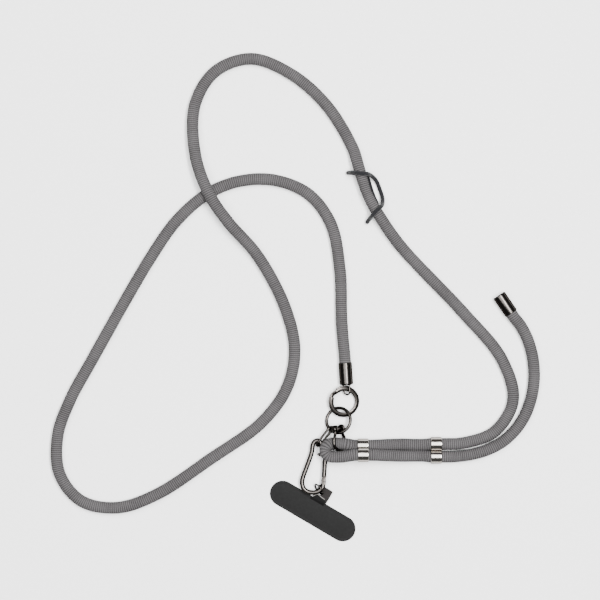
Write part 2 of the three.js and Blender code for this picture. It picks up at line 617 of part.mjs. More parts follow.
const strap = new THREE.Group();
strap.add(
  piece('rope_long_run', cordRun(longPoints), 'cord'),
  piece('rope_fold', cordRun(foldPoints()), 'cord'),
  piece('rope_tail', cordRun(tailPoints), 'cord'),
  slider('slider_outer', outerSlider, 0),
  slider('slider_inner', innerSlider, innerSliderRoll),
  piece('cap_with_eye', eyeCapGeometry(), 'gunmetal', capFrame(eyeCapPlace)),
  piece('cap_plain', capGeometry(), 'gunmetal', capFrame(plainCapPlace)),
  piece('split_ring', splitRingGeometry(), 'gunmetal', slopeFrame(splitRingPlace)),
  piece('link_ring', linkRing, 'gunmetal', slopeFrame(linkRingPlace)),
  piece('shackle_bow', shackleBowGeometry(), 'gunmetal', shackleFrame()),
  piece('shackle_pin', shacklePinGeometry(), 'gunmetal', shackleFrame()),
  piece('connector_link', connector, 'gunmetal', tiltFrame(connectorPlace)),
  piece('carabiner_body', hookBodyGeometry(), 'gunmetal', hookFrame()),
  piece('carabiner_gate', gateGeometry(), 'gunmetal', hookFrame()),
  piece('phone_tab', tabGeometry(), 'tab', tabFrame()),
  piece('tab_strap', tabStrapGeometry(), 'webbing', tabFrame()),
  piece('tab_ring', tabRing, 'gunmetal', tiltFrame(tabRingPlace)),
  piece('elastic_loop', keeperGeometry(longCurve), 'elastic'),
);

// The layout's middle comes to the origin
for (const mesh of strap.children) {
  mesh.position.x -= layoutMiddle.x;
  mesh.position.y -= layoutMiddle.y;
}

export default strap;
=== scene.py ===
import logging
import math
from dataclasses import dataclass, field, replace
from enum import Enum

import bpy
import numpy as np
from mathutils import Matrix


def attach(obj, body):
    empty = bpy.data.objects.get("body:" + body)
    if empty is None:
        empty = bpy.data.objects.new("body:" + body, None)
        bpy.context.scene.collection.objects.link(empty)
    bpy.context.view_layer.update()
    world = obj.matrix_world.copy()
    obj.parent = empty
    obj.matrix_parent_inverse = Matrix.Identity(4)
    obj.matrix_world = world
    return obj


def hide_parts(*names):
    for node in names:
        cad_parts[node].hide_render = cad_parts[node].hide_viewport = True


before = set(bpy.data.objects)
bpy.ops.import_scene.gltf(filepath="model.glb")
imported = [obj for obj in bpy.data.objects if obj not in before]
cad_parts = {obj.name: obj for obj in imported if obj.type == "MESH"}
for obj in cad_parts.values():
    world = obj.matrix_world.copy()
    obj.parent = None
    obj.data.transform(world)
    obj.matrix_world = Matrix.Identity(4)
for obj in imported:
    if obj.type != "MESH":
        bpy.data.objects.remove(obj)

log = logging.getLogger("strap")

MM = 0.001
LAYOUT_MIDDLE = np.array([-0.23, -0.12, 0.0])
UP = np.array([0.0, 0.0, 1.0])
CORD_RADIUS = 4.0
CORD_SHOWN = 1.05  # the cord's thickness in the photo as a share of the solids'
TAB_TURN = -30.4  # the tab's direction in plan, in degrees

Triple = tuple | list | np.ndarray
Input = float | tuple | bpy.types.NodeSocket


class Body(Enum):
    """The moving bodies of the strap."""

    STRAP = "strap"
    GATE = "gate"


class Slot(Enum):
    """The record's material slots."""

    CORD = "cord"
    SLIDER = "slider_metal"
    DARK = "dark_metal"
    TAB = "tab"
    WEBBING = "webbing"
    ELASTIC = "elastic"


# Curves and surfaces, all in millimetres until a piece is made


def unit(vectors: np.ndarray) -> np.ndarray:
    """Scale vectors to length one.

    Args:
        vectors: one vector or an array of them, along the last axis.

    Returns:
        The same directions with length one.
    """
    return vectors / np.linalg.norm(vectors, axis=-1, keepdims=True)


def smooth_curve(points: np.ndarray, each: int = 24, closed: bool = False) -> np.ndarray:
    """Run a centripetal Catmull-Rom curve through points.

    Each span is a cubic whose end slopes come from its two points and their neighbours, each
    difference divided by the fourth root of the squared distance that it spans.

    Args:
        points: the chosen points, one row each.
        each: samples in each span.
        closed: whether the curve returns to its first point.

    Returns:
        The sampled curve, one row per sample.
    """
    if closed:
        padded = np.vstack([points[-1:], points, points[:2]])
    else:
        padded = np.vstack([2 * points[:1] - points[1:2], points, 2 * points[-1:] - points[-2:-1]])
    p0, p1, p2, p3 = padded[:-3], padded[1:-2], padded[2:-1], padded[3:]
    roots = np.linalg.norm(np.diff(padded, axis=0), axis=1, keepdims=True) ** 0.5
    d0, d1, d2 = roots[:-2], roots[1:-1], roots[2:]
    slope1 = ((p1 - p0) / d0 - (p2 - p0) / (d0 + d1) + (p2 - p1) / d1) * d1
    slope2 = ((p2 - p1) / d1 - (p3 - p1) / (d1 + d2) + (p3 - p2) / d2) * d1
    square = 3 * (p2 - p1) - 2 * slope1 - slope2
    cube = 2 * (p1 - p2) + slope1 + slope2
    t = np.linspace(0, 1, each, endpoint=False)[None, :, None]
    spans = p1[:, None] + t * (slope1[:, None] + t * (square[:, None] + t * cube[:, None]))
    curve = spans.reshape(-1, points.shape[1])
    return curve if closed else np.vstack([curve, points[-1:]])


def spaced(curve: np.ndarray, step: float, closed: bool = False) -> np.ndarray:
    """Resample a curve at equal steps of its own length.

    Args:
        curve: a densely sampled curve.
        step: the wanted distance between samples.
        closed: whether the curve returns to its start.

    Returns:
        The evenly spaced samples, without a repeated end on a closed curve.
    """
    line = np.vstack([curve, curve[:1]]) if closed else curve
    length = np.concatenate([[0], np.cumsum(np.linalg.norm(np.diff(line, axis=0), axis=1))])
    count = max(3, int(round(length[-1] / step)))
    at = np.linspace(0, length[-1], count + 1)
    even = np.stack([np.interp(at, length, line[:, k]) for k in range(line.shape[1])], axis=1)
    return even[:-1] if closed else even


def arc(radius: float, start: float, end: float, count: int, middle: tuple = (0.0, 0.0)) -> np.ndarray:
    """Sample an arc in the XY plane.

    Args:
        radius: its radius.
        start: the first direction in degrees.
        end: the last direction in degrees.
        count: how many points.
        middle: its centre.

    Returns:
        Rows of x, y and z, with z at nought.
    """
    a = np.radians(np.linspace(start, end, count))
    return np.stack([middle[0] + radius * np.cos(a), middle[1] + radius * np.sin(a), 0 * a], axis=1)


def oval(count: int, width: float = 1.0, height: float = 1.0, power: float = 2.0) -> np.ndarray:
    """A closed section: a superellipse, round at power 2 and squarer above it.

    Args:
        count: points round it.
        width: half its width.
        height: half its height.
        power: how square it is.

    Returns:
        Rows of two coordinates, anticlockwise.
    """
    a = np.linspace(0, 2 * np.pi, count, endpoint=False)
    circle = np.stack([np.cos(a), np.sin(a)], axis=1)
    return np.sign(circle) * np.abs(circle) ** (2 / power) * [width, height]


def rounding(
    r: float, h: float, soft: float, start: float = 0.0, end: float = 90.0, count: int = 6
) -> list:
    """A rounded edge of a turned profile: an arc about a centre.

    Args:
        r: the centre's distance from the axis.
        h: the centre's height.
        soft: the arc's radius.
        start: its first direction in degrees.
        end: its last direction in degrees.
        count: how many points.

    Returns:
        Pairs of radius and height.
    """
    turn = np.radians(np.linspace(start, end, count))
    return [(r + soft * math.cos(a), h + soft * math.sin(a)) for a in turn]


@dataclass(frozen=True)
class Place:
    """A local frame: where its origin is and where its axes point."""

    origin: np.ndarray
    x: np.ndarray
    y: np.ndarray
    z: np.ndarray

    @staticmethod
    def of(origin: Triple, x: Triple, y: Triple) -> "Place":
        """Make a frame from its origin and two perpendicular axes.

        Args:
            origin: the origin's place.
            x: the first axis.
            y: the second axis.

        Returns:
            The frame.
        """
        x, y = unit(np.array(x, float)), unit(np.array(y, float))
        return Place(np.array(origin, float), x, y, np.cross(x, y))

    def to_world(self, points: np.ndarray) -> np.ndarray:
        """Bring local points to the strap's frame.

        Args:
            points: rows of local coordinates, in any number of dimensions.

        Returns:
            The same points in the strap's frame.
        """
        return self.origin + points @ np.stack([self.x, self.y, self.z])


@dataclass
class Shell:
    """One closed surface: its points, its faces and the lay coordinates of its face corners."""

    points: np.ndarray
    quads: np.ndarray
    triangles: np.ndarray
    quad_lay: np.ndarray
    triangle_lay: np.ndarray


def loft(rings: np.ndarray, closed: bool = False, lengths: np.ndarray | None = None) -> Shell:
    """Skin a stack of rings of equal count, and close its ends with fans.

    Args:
        rings: points by ring, by place in the ring, by coordinate.
        closed: whether the last ring joins the first.
        lengths: how far along each ring lies, for the lay coordinates.

    Returns:
        The skinned surface.
    """
    n, m, _ = rings.shape
    if lengths is None:
        steps = np.linalg.norm(np.diff(rings.mean(axis=1), axis=0), axis=1)
        lengths = np.concatenate([[0], np.cumsum(steps)])
    rows = n if closed else n - 1
    i, j = np.meshgrid(np.arange(rows), np.arange(m), indexing="ij")
    i1, j1 = (i + 1) % n, (j + 1) % m
    quads = np.stack([i * m + j, i * m + j1, i1 * m + j1, i1 * m + j], axis=-1).reshape(-1, 4)
    ends = np.append(lengths, lengths[-1] + (lengths[1] - lengths[0]) if n > 1 else 0)
    u = np.stack([ends[i], ends[i], ends[i + 1], ends[i + 1]], axis=-1)
    v = np.stack([j, j + 1, j + 1, j], axis=-1) / m
    quad_lay = np.stack([u, v], axis=-1).reshape(-1, 4, 2)
    points = rings.reshape(-1, 3)
    if closed:
        return Shell(points, quads, np.zeros((0, 3), int), quad_lay, np.zeros((0, 3, 2)))
    k = np.arange(m)
    first, last = np.full(m, n * m), np.full(m, n * m + 1)
    start = np.stack([first, (k + 1) % m, k], axis=1)
    stop = np.stack([last, (n - 1) * m + k, (n - 1) * m + (k + 1) % m], axis=1)
    points = np.vstack([points, rings[0].mean(axis=0), rings[-1].mean(axis=0)])
    triangles = np.vstack([start, stop])
    share = np.stack([(k + 0.5) / m, (k + 1) / m, k / m], axis=1)
    at = np.concatenate([np.full((m, 3), lengths[0]), np.full((m, 3), lengths[-1])])
    triangle_lay = np.stack([at, np.vstack([share, share])], axis=-1)
    return Shell(points, quads, triangles, quad_lay, triangle_lay)


def directions(line: np.ndarray, closed: bool) -> np.ndarray:
    """The direction of travel at each sample of a line.

    Args:
        line: the samples.
        closed: whether it returns to its start.

    Returns:
        A unit vector for each sample.
    """
    if closed:
        return unit(np.roll(line, -1, axis=0) - np.roll(line, 1, axis=0))
    return unit(np.gradient(line, axis=0))


def stood(line: np.ndarray, flat: np.ndarray, ahead: np.ndarray, side: np.ndarray) -> np.ndarray:
    """Stand a section at each sample of a line.

    Each ring is the line's sample plus the section's coordinates times two axes square to the
    direction of travel.

    Args:
        line: the samples of the line.
        flat: the section's points, one set for all samples or one for each.
        ahead: the direction of travel at each sample.
        side: the section's first axis at each sample.

    Returns:
        Points by ring, by place in the ring, by coordinate.
    """
    over = np.cross(ahead, side)
    return line[:, None] + flat[..., :1] * side[:, None] + flat[..., 1:] * over[:, None]


def sweep(
    line: np.ndarray, section: np.ndarray, up: np.ndarray = UP, closed: bool = False,
    scale: np.ndarray | None = None,
) -> Shell:
    """Carry a section along a line, its second axis kept towards up.

    Args:
        line: the samples of the line.
        section: the section's points.
        up: the direction, or one for each sample, that the second axis leans to.
        closed: whether the line returns to its start.
        scale: the section's size at each sample.

    Returns:
        The swept surface.
    """
    ahead = directions(line, closed)
    flat = section if scale is None else section * np.asarray(scale).reshape(len(line), 1, -1)
    return loft(stood(line, flat, ahead, unit(np.cross(up, ahead))), closed)


def rod(line: np.ndarray, radius: float, sides: int = 24, bevel: float = 0.3) -> Shell:
    """A round rod along a line, its two ends rounded over.

    At each end the radius falls by the bevel times one minus the cosine of an angle, while the
    line's last stretch is sampled at the bevel times its sine.

    Args:
        line: the samples of the line, evenly spaced and never upright.
        radius: the rod's radius.
        sides: points round it.
        bevel: the size of the rounding.

    Returns:
        The rod's surface.
    """
    turn = np.radians(np.linspace(0, 90, 7)[1:])
    first, last = unit(line[1] - line[0]), unit(line[-1] - line[-2])
    reach = (bevel * (1 - np.sin(turn)))[::-1, None]
    start = line[0] + reach * first
    stop = line[-1] - reach[::-1] * last
    keep = slice(1 + int(bevel / np.linalg.norm(line[1] - line[0])), None)
    inner = line[keep][: len(line) - 2 * keep.start]
    shrink = 1 - bevel / radius * (1 - np.cos(turn))
    samples = np.vstack([start, inner, stop])
    ahead = np.vstack([np.tile(first, (6, 1)), directions(inner, False), np.tile(last, (6, 1))])
    scale = np.concatenate([shrink[::-1], np.ones(len(inner)), shrink])
    flat = oval(sides) * radius * scale[:, None, None]
    return loft(stood(samples, flat, ahead, unit(np.cross(UP, ahead))))


def turned(profile: list, sides: int = 48, closed: bool = False) -> Shell:
    """Turn a profile about the local Y axis.

    Args:
        profile: pairs of radius and height, in travelling order.
        sides: points round it.
        closed: whether the profile returns to its start.

    Returns:
        The turned surface, in local coordinates.
    """
    r, h = np.array(profile, float).T
    a = np.linspace(0, 2 * np.pi, sides, endpoint=False)
    around = np.stack([np.sin(a), 0 * a, np.cos(a)], axis=1)
    rings = r[:, None, None] * around[None] + h[:, None, None] * np.array([0, 1, 0])
    steps = np.hypot(np.diff(r), np.diff(h))
    return loft(rings, closed, np.concatenate([[0], np.cumsum(steps)]))


def moved(shell: Shell, *places: Place) -> Shell:
    """Bring a shell from a local frame to the strap's.

    Args:
        shell: the shell in local coordinates.
        places: the local frame, then the frame that it is given in, and so on outwards.

    Returns:
        The shell in the strap's frame.
    """
    points = shell.points
    for place in places:
        points = place.to_world(points)
    return replace(shell, points=points)


# Materials


class NodeSheet:
    """Builds one material's nodes, with short calls for the common kinds."""

    def __init__(self, name: str) -> None:
        """Start an empty material.

        Args:
            name: the material's name.
        """
        self.material = bpy.data.materials.new(name)
        self.material.use_nodes = True
        self.tree = self.material.node_tree
        self.tree.nodes.clear()

    def put(self, kind: str, settings: dict | None = None, **inputs) -> bpy.types.Node:
        """Add a node.

        Args:
            kind: the node's type.
            settings: properties of the node to set.
            inputs: sockets by name, with _ for a space, or by n and a number, each a value or an
                output to link.

        Returns:
            The new node.
        """
        node = self.tree.nodes.new(kind)
        for key, value in (settings or {}).items():
            setattr(node, key, value)
        for key, value in inputs.items():
            numbered = key[0] == "n" and key[1:].isdigit()
            self.feed(node.inputs[int(key[1:]) if numbered else key.replace("_", " ")], value)
        return node

    def feed(self, socket: bpy.types.NodeSocket, value: Input) -> None:
        """Set a socket, or link an output to it.

        Args:
            socket: the socket.
            value: its constant, or the output.
        """
        if isinstance(value, bpy.types.NodeSocket):
            self.tree.links.new(value, socket)
        else:
            socket.default_value = value

    def math(self, kind: str, a: Input, b: Input | None = None) -> bpy.types.NodeSocket:
        """Add one step of arithmetic.

        Args:
            kind: the operation.
            a: its first input.
            b: its second input, if it has one.

        Returns:
            The result.
        """
        extra = {} if b is None else {"n1": b}
        return self.put("ShaderNodeMath", {"operation": kind}, n0=a, **extra).outputs[0]

    def lay(self) -> tuple:
        """Read a swept piece's own coordinates.

        Returns:
            The length along it in millimetres, and the share of the way round it.
        """
        lay = self.put("ShaderNodeUVMap", {"uv_map": "lay"})
        split = self.put("ShaderNodeSeparateXYZ", Vector=lay.outputs[0])
        return split.outputs[0], split.outputs[1]

    def plan(self, turn: float) -> tuple:
        """Read the piece's own place along two level axes.

        Args:
            turn: the first axis's direction in degrees.

        Returns:
            The places along the first axis and the second one, in metres.
        """
        where = self.put("ShaderNodeTexCoord").outputs["Object"]
        mapping = self.put("ShaderNodeMapping", Vector=where)
        mapping.inputs["Rotation"].default_value = (0, 0, math.radians(-turn))
        split = self.put("ShaderNodeSeparateXYZ", Vector=mapping.outputs[0])
        return split.outputs[0], split.outputs[1]

    def wave(self, value: Input, turns: float) -> bpy.types.NodeSocket:
        """A sine.

        Args:
            value: what it runs along.
            turns: radians for each unit of the value.

        Returns:
            The sine's value.
        """
        return self.math("SINE", self.math("MULTIPLY", value, turns))

    def noise(self, scale: float, detail: float = 2.0, rough: float = 0.5) -> bpy.types.NodeSocket:
        """Noise in the piece's own space.

        Args:
            scale: cells in a metre.
            detail: octaves.
            rough: how strong the finer octaves are.

        Returns:
            The noise's value.
        """
        where = self.put("ShaderNodeTexCoord").outputs["Object"]
        made = self.put("ShaderNodeTexNoise", Vector=where, Scale=scale, Detail=detail, Roughness=rough)
        return made.outputs[0]

    def blend(self, share: Input, first: Input, second: Input) -> bpy.types.NodeSocket:
        """Mix two colours.

        Args:
            share: how much of the second.
            first: the first colour.
            second: the second colour.

        Returns:
            The mixed colour.
        """
        mix = self.put("ShaderNodeMix", {"data_type": "RGBA", "clamp_factor": True})
        for index, value in ((0, share), (6, first), (7, second)):
            self.feed(mix.inputs[index], value)
        return mix.outputs[2]

    def ramp(
        self, value: Input, low: float, high: float, start: float = 0.0, end: float = 1.0
    ) -> bpy.types.NodeSocket:
        """Map a value from one range to another, held at its ends.

        Args:
            value: the value.
            low: the range's lower end.
            high: its upper end.
            start: what the lower end becomes.
            end: what the upper end becomes.

        Returns:
            The mapped value.
        """
        made = self.put("ShaderNodeMapRange", {"clamp": True}, Value=value)
        for index, number in ((1, low), (2, high), (3, start), (4, end)):
            made.inputs[index].default_value = number
        return made.outputs[0]

    def finish(self, **surface) -> bpy.types.Material:
        """Close the material with a surface shader.

        Args:
            surface: the shader's sockets by name, with _ for a space.

        Returns:
            The finished material.
        """
        shader = self.put("ShaderNodeBsdfPrincipled", **surface)
        self.put("ShaderNodeOutputMaterial", Surface=shader.outputs[0])
        return self.material


def rgb(r: float, g: float, b: float) -> tuple:
    """Turn a screen colour of 0 to 255 into a scene colour.

    Args:
        r: red.
        g: green.
        b: blue.

    Returns:
        Linear red, green and blue, with full alpha.
    """
    value = np.array([r, g, b]) / 255
    linear = np.where(value <= 0.04045, value / 12.92, ((value + 0.055) / 1.055) ** 2.4)
    return (*linear.tolist(), 1.0)


@dataclass(frozen=True)
class CordFinish:
    """The cord's knitted cover: courses across it, wales along it, and a dusty grey yarn."""

    light: tuple = (88, 86, 87)
    dark: tuple = (33, 32, 32)
    course: float = 1.45
    wales: int = 18

    def build(self) -> bpy.types.Material:
        """Make the cord's material.

        The courses are a sine along the length whose phase swings with each wale, so each stitch
        is a small arch. Wales are shallow grooves between columns of stitches.

        Returns:
            The material.
        """
        s = NodeSheet("knitted_cord")
        u, v = s.lay()
        columns = s.math("MULTIPLY", v, 2 * math.pi * self.wales)
        swing = s.math("MULTIPLY", s.math("COSINE", columns), 0.25)
        phase = s.math("ADD", s.math("MULTIPLY", u, 2 * math.pi / self.course), swing)
        wander = s.math("MULTIPLY", s.noise(160, 2), 0.7)
        course = s.math("SINE", s.math("ADD", phase, wander))
        wale = s.math("ABSOLUTE", s.wave(columns, 0.5))
        stitch = s.math("MULTIPLY", s.ramp(course, -1, 0.6), s.ramp(wale, 0, 0.7, 0.75, 1))
        yarn = s.noise(1500, 3, 0.6)
        patch = s.noise(70, 2)
        tone = s.math("ADD", s.math("MULTIPLY", stitch, 0.62), s.ramp(yarn, 0.3, 0.7, 0.0, 0.3))
        tone = s.math("ADD", tone, s.ramp(patch, 0.35, 0.65, -0.05, 0.09))
        colour = s.blend(tone, rgb(*self.dark), rgb(*self.light))
        height = s.math("ADD", stitch, s.math("MULTIPLY", yarn, 0.35))
        bump = s.put("ShaderNodeBump", Strength=0.55, Distance=0.0004, Height=height)
        return s.finish(Base_Color=colour, Roughness=0.95, Normal=bump.outputs[0], Specular_IOR_Level=0.08)


@dataclass(frozen=True)
class PlatedFinish:
    """Polished plating with faint wear and fine scratches, which change its colour and gloss."""

    name: str
    tint: tuple
    edge: tuple
    roughness: float = 0.2

    def build(self) -> bpy.types.Material:
        """Make the plating.

        Returns:
            The material.
        """
        s = NodeSheet(self.name)
        wear = s.noise(420, 4, 0.62)
        scratch = s.noise(2600, 2, 0.7)
        colour = s.blend(s.ramp(wear, 0.35, 0.7), rgb(*self.tint), rgb(*(0.93 * c for c in self.tint)))
        rough = s.math("ADD", s.ramp(wear, 0.3, 0.75, self.roughness * 0.85, self.roughness * 1.2),
                       s.math("MULTIPLY", scratch, 0.03))
        return s.finish(Base_Color=colour, Metallic=1.0, Roughness=rough, Specular_Tint=rgb(*self.edge))


@dataclass(frozen=True)
class TabFinish:
    """The tab's coated cloth: a fine plain weave under a thin matt coat."""

    colour: tuple = (15, 15, 15)
    edge: tuple = (13, 13, 13)
    thread: float = 0.55

    def build(self) -> bpy.types.Material:
        """Make the tab's material.

        Returns:
            The material.
        """
        s = NodeSheet("coated_cloth")
        along, across = s.plan(TAB_TURN)
        turns = 2 * math.pi / (self.thread * MM)
        weave = s.math("MULTIPLY", s.wave(along, turns), s.wave(across, turns))
        grain = s.noise(900, 3, 0.6)
        cloud = s.noise(60, 2)
        tone = s.math("ADD", s.ramp(weave, -1, 1, 0, 0.4), s.ramp(grain, 0.3, 0.7, 0, 0.5))
        tone = s.math("ADD", tone, s.ramp(cloud, 0.3, 0.7, -0.1, 0.2))
        colour = s.blend(tone, rgb(*self.edge), rgb(*self.colour))
        height = s.math("ADD", weave, s.math("MULTIPLY", grain, 0.8))
        bump = s.put("ShaderNodeBump", Strength=0.12, Distance=0.0001, Height=height)
        rough = s.ramp(grain, 0.3, 0.7, 0.62, 0.72)
        return s.finish(Base_Color=colour, Roughness=rough, Normal=bump.outputs[0], Specular_IOR_Level=0.12)


@dataclass(frozen=True)
class WebbingFinish:
    """The tab's webbing, with close ribs across it."""

    name: str
    light: tuple
    dark: tuple
    rib: float

    def build(self) -> bpy.types.Material:
        """Make the webbing.

        Returns:
            The material.
        """
        s = NodeSheet(self.name)
        along, across = s.plan(TAB_TURN)
        turns = 2 * math.pi / (self.rib * MM)
        weave = s.math("ADD", s.wave(across, turns), s.math("MULTIPLY", s.wave(along, 1.7 * turns), 0.35))
        fibre = s.noise(2200, 3, 0.6)
        tone = s.math("ADD", s.ramp(weave, -1.2, 1.2, 0, 0.7), s.ramp(fibre, 0.3, 0.7, 0, 0.3))
        colour = s.blend(tone, rgb(*self.dark), rgb(*self.light))
        bump = s.put("ShaderNodeBump", Strength=0.6, Distance=0.00015, Height=weave)
        return s.finish(
            Base_Color=colour, Roughness=0.8, Normal=bump.outputs[0],
            Sheen_Weight=0.2, Specular_IOR_Level=0.25,
        )


@dataclass(frozen=True)
class ElasticFinish:
    """The thick elastic's braided black cover."""

    light: tuple = (27, 27, 30)
    dark: tuple = (8, 8, 10)
    pitch: float = 0.9

    def build(self) -> bpy.types.Material:
        """Make the elastic's material, two spirals of yarn that cross.

        Returns:
            The material.
        """
        s = NodeSheet("braided_elastic")
        u, v = s.lay()
        along = s.math("MULTIPLY", u, 2 * math.pi / self.pitch)
        round_it = s.math("MULTIPLY", v, 2 * math.pi * 4)
        one = s.math("SINE", s.math("ADD", along, round_it))
        two = s.math("SINE", s.math("SUBTRACT", along, round_it))
        braid = s.math("MAXIMUM", one, two)
        fibre = s.noise(2400, 2)
        tone = s.math("ADD", s.ramp(braid, -0.4, 1, 0, 0.7), s.ramp(fibre, 0.3, 0.7, 0, 0.3))
        colour = s.blend(tone, rgb(*self.dark), rgb(*self.light))
        bump = s.put("ShaderNodeBump", Strength=0.6, Distance=0.00015, Height=braid)
        return s.finish(
            Base_Color=colour, Roughness=0.8, Normal=bump.outputs[0],
            Sheen_Weight=0.08, Specular_IOR_Level=0.15,
        )


@dataclass(frozen=True)
class PaperFinish:
    """The white sheet that the strap lies on."""

    def build(self) -> bpy.types.Material:
        """Make the sheet's material.

        Returns:
            The material.
        """
        s = NodeSheet("white_sheet")
        grain = s.noise(400, 2)
        colour = s.blend(s.ramp(grain, 0.3, 0.7), rgb(250, 250, 250), rgb(254, 254, 254))
        return s.finish(Base_Color=colour, Roughness=0.9, Specular_IOR_Level=0.1)


@dataclass
class Finishes:
    """One material of each finish, made once."""

    cord: bpy.types.Material = field(default_factory=lambda: CordFinish().build())
    dark: bpy.types.Material = field(
        default_factory=lambda: PlatedFinish("dark_plating", (62, 59, 57), (20, 19, 18)).build()
    )
    bright: bpy.types.Material = field(
        default_factory=lambda: PlatedFinish("bright_plating", (158, 153, 148), (64, 60, 58), 0.12).build()
    )
    tab: bpy.types.Material = field(default_factory=lambda: TabFinish().build())
    webbing: bpy.types.Material = field(
        default_factory=lambda: WebbingFinish("dark_webbing", (30, 26, 25), (13, 11, 10), 0.9).build()
    )
    # A pale finish for the painted highlight along the gusset's brow
    painted_edge_highlight: bpy.types.Material = field(
        default_factory=lambda: WebbingFinish("painted_edge_highlight", (150, 147, 144), (104, 101, 98), 0.6).build()
    )
    elastic: bpy.types.Material = field(default_factory=lambda: ElasticFinish().build())


# Pieces


def in_metres(points: np.ndarray) -> np.ndarray:
    """Bring points from the layout's millimetres to the scene's metres.

    Args:
        points: rows of x, y and z.

    Returns:
        The same points in the scene.
    """
    return (points - LAYOUT_MIDDLE) * MM


def placed(name: str, data: bpy.types.ID) -> bpy.types.Object:
    """Put a mesh, a light or a camera into the scene.

    Args:
        name: the object's name.
        data: the mesh, light or camera.

    Returns:
        The object.
    """
    made = bpy.data.objects.new(name, data)
    bpy.context.scene.collection.objects.link(made)
    return made


def make_piece(
    name: str, shells: list, material: bpy.types.Material, stands_for: tuple = (),
    body: Body = Body.STRAP, sharp: float = 40.0,
) -> bpy.types.Object:
    """Turn shells into one object that rides on its body.

    Args:
        name: the piece's name.
        shells: its surfaces, in millimetres.
        material: its material.
        stands_for: the solids of the frame that it replaces.
        body: the body that it moves with.
        sharp: edges with a larger angle than this stay crisp.

    Returns:
        The object.
    """
    starts = np.cumsum([0] + [len(s.points) for s in shells])
    points = in_metres(np.vstack([s.points for s in shells]))
    quads = np.vstack([s.quads + k for s, k in zip(shells, starts)])
    triangles = np.vstack([s.triangles + k for s, k in zip(shells, starts)])
    mesh = bpy.data.meshes.new(name)
    mesh.from_pydata(points, [], quads.tolist() + triangles.tolist())
    corners = np.vstack(
        [s.quad_lay.reshape(-1, 2) for s in shells] + [s.triangle_lay.reshape(-1, 2) for s in shells]
    )
    mesh.uv_layers.new(name="lay").data.foreach_set("uv", corners.astype(np.float32).ravel())
    mesh.validate()
    mesh.shade_smooth()
    mesh.set_sharp_from_angle(angle=math.radians(sharp))
    mesh.materials.append(material)
    piece = placed(name, mesh)
    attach(piece, body.value)
    if stands_for:
        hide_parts(*stands_for)
    log.info("%s: %d faces", name, len(mesh.polygons))
    return piece


@dataclass
class Sliders:
    """The two double barrel sliders and where they lie."""

    outer: tuple = (100.1, -109.1)
    inner: tuple = (48.0, -108.8)
    roll: float = 47.0
    bore: float = 4.3
    radius: float = 4.9
    pitch: float = 9.0
    length: float = 7.6

    @property
    def reach(self) -> float:
        """How far to each side of the inner slider's middle its bores lie, seen from above."""
        return self.pitch / 2 * math.cos(math.radians(self.roll))

    @property
    def rise(self) -> float:
        """How much higher the inner slider's near bore lies than its far one."""
        return self.pitch * math.sin(math.radians(self.roll))

    def barrel(self) -> Shell:
        """One barrel: a tube whose two rims are rolled over.

        Returns:
            The barrel along the local Y axis.
        """
        half, mid, wall = self.length / 2, (self.radius + self.bore) / 2, (self.radius - self.bore) / 2
        lip = rounding(mid, half - wall, wall, 0, 180, 9)
        back = [(r, -h) for r, h in reversed(lip)]
        outside = [(self.radius, h) for h in np.linspace(wall - half + 0.2, half - wall - 0.2, 7)]
        return turned(outside + lip + back, 72, True)

    def build(self, name: str, place: tuple, roll: float, finish: Finishes) -> bpy.types.Object:
        """Make one slider.

        Args:
            name: the frame's solid that it stands for.
            place: its middle, seen from above.
            roll: its roll about the cord.
            finish: the materials.

        Returns:
            The slider.
        """
        a = math.radians(roll)
        across = np.array([0, math.cos(a), -math.sin(a)])
        middle = np.array([*place, self.radius + self.pitch / 2 * math.sin(a)])
        shells = []
        for side in (-1, 1):
            origin = middle + side * self.pitch / 2 * across
            shells.append(moved(self.barrel(), Place.of(origin, np.cross([1, 0, 0], across), (1, 0, 0))))
        return make_piece(f"{name}_barrels", shells, finish.bright, (name,))


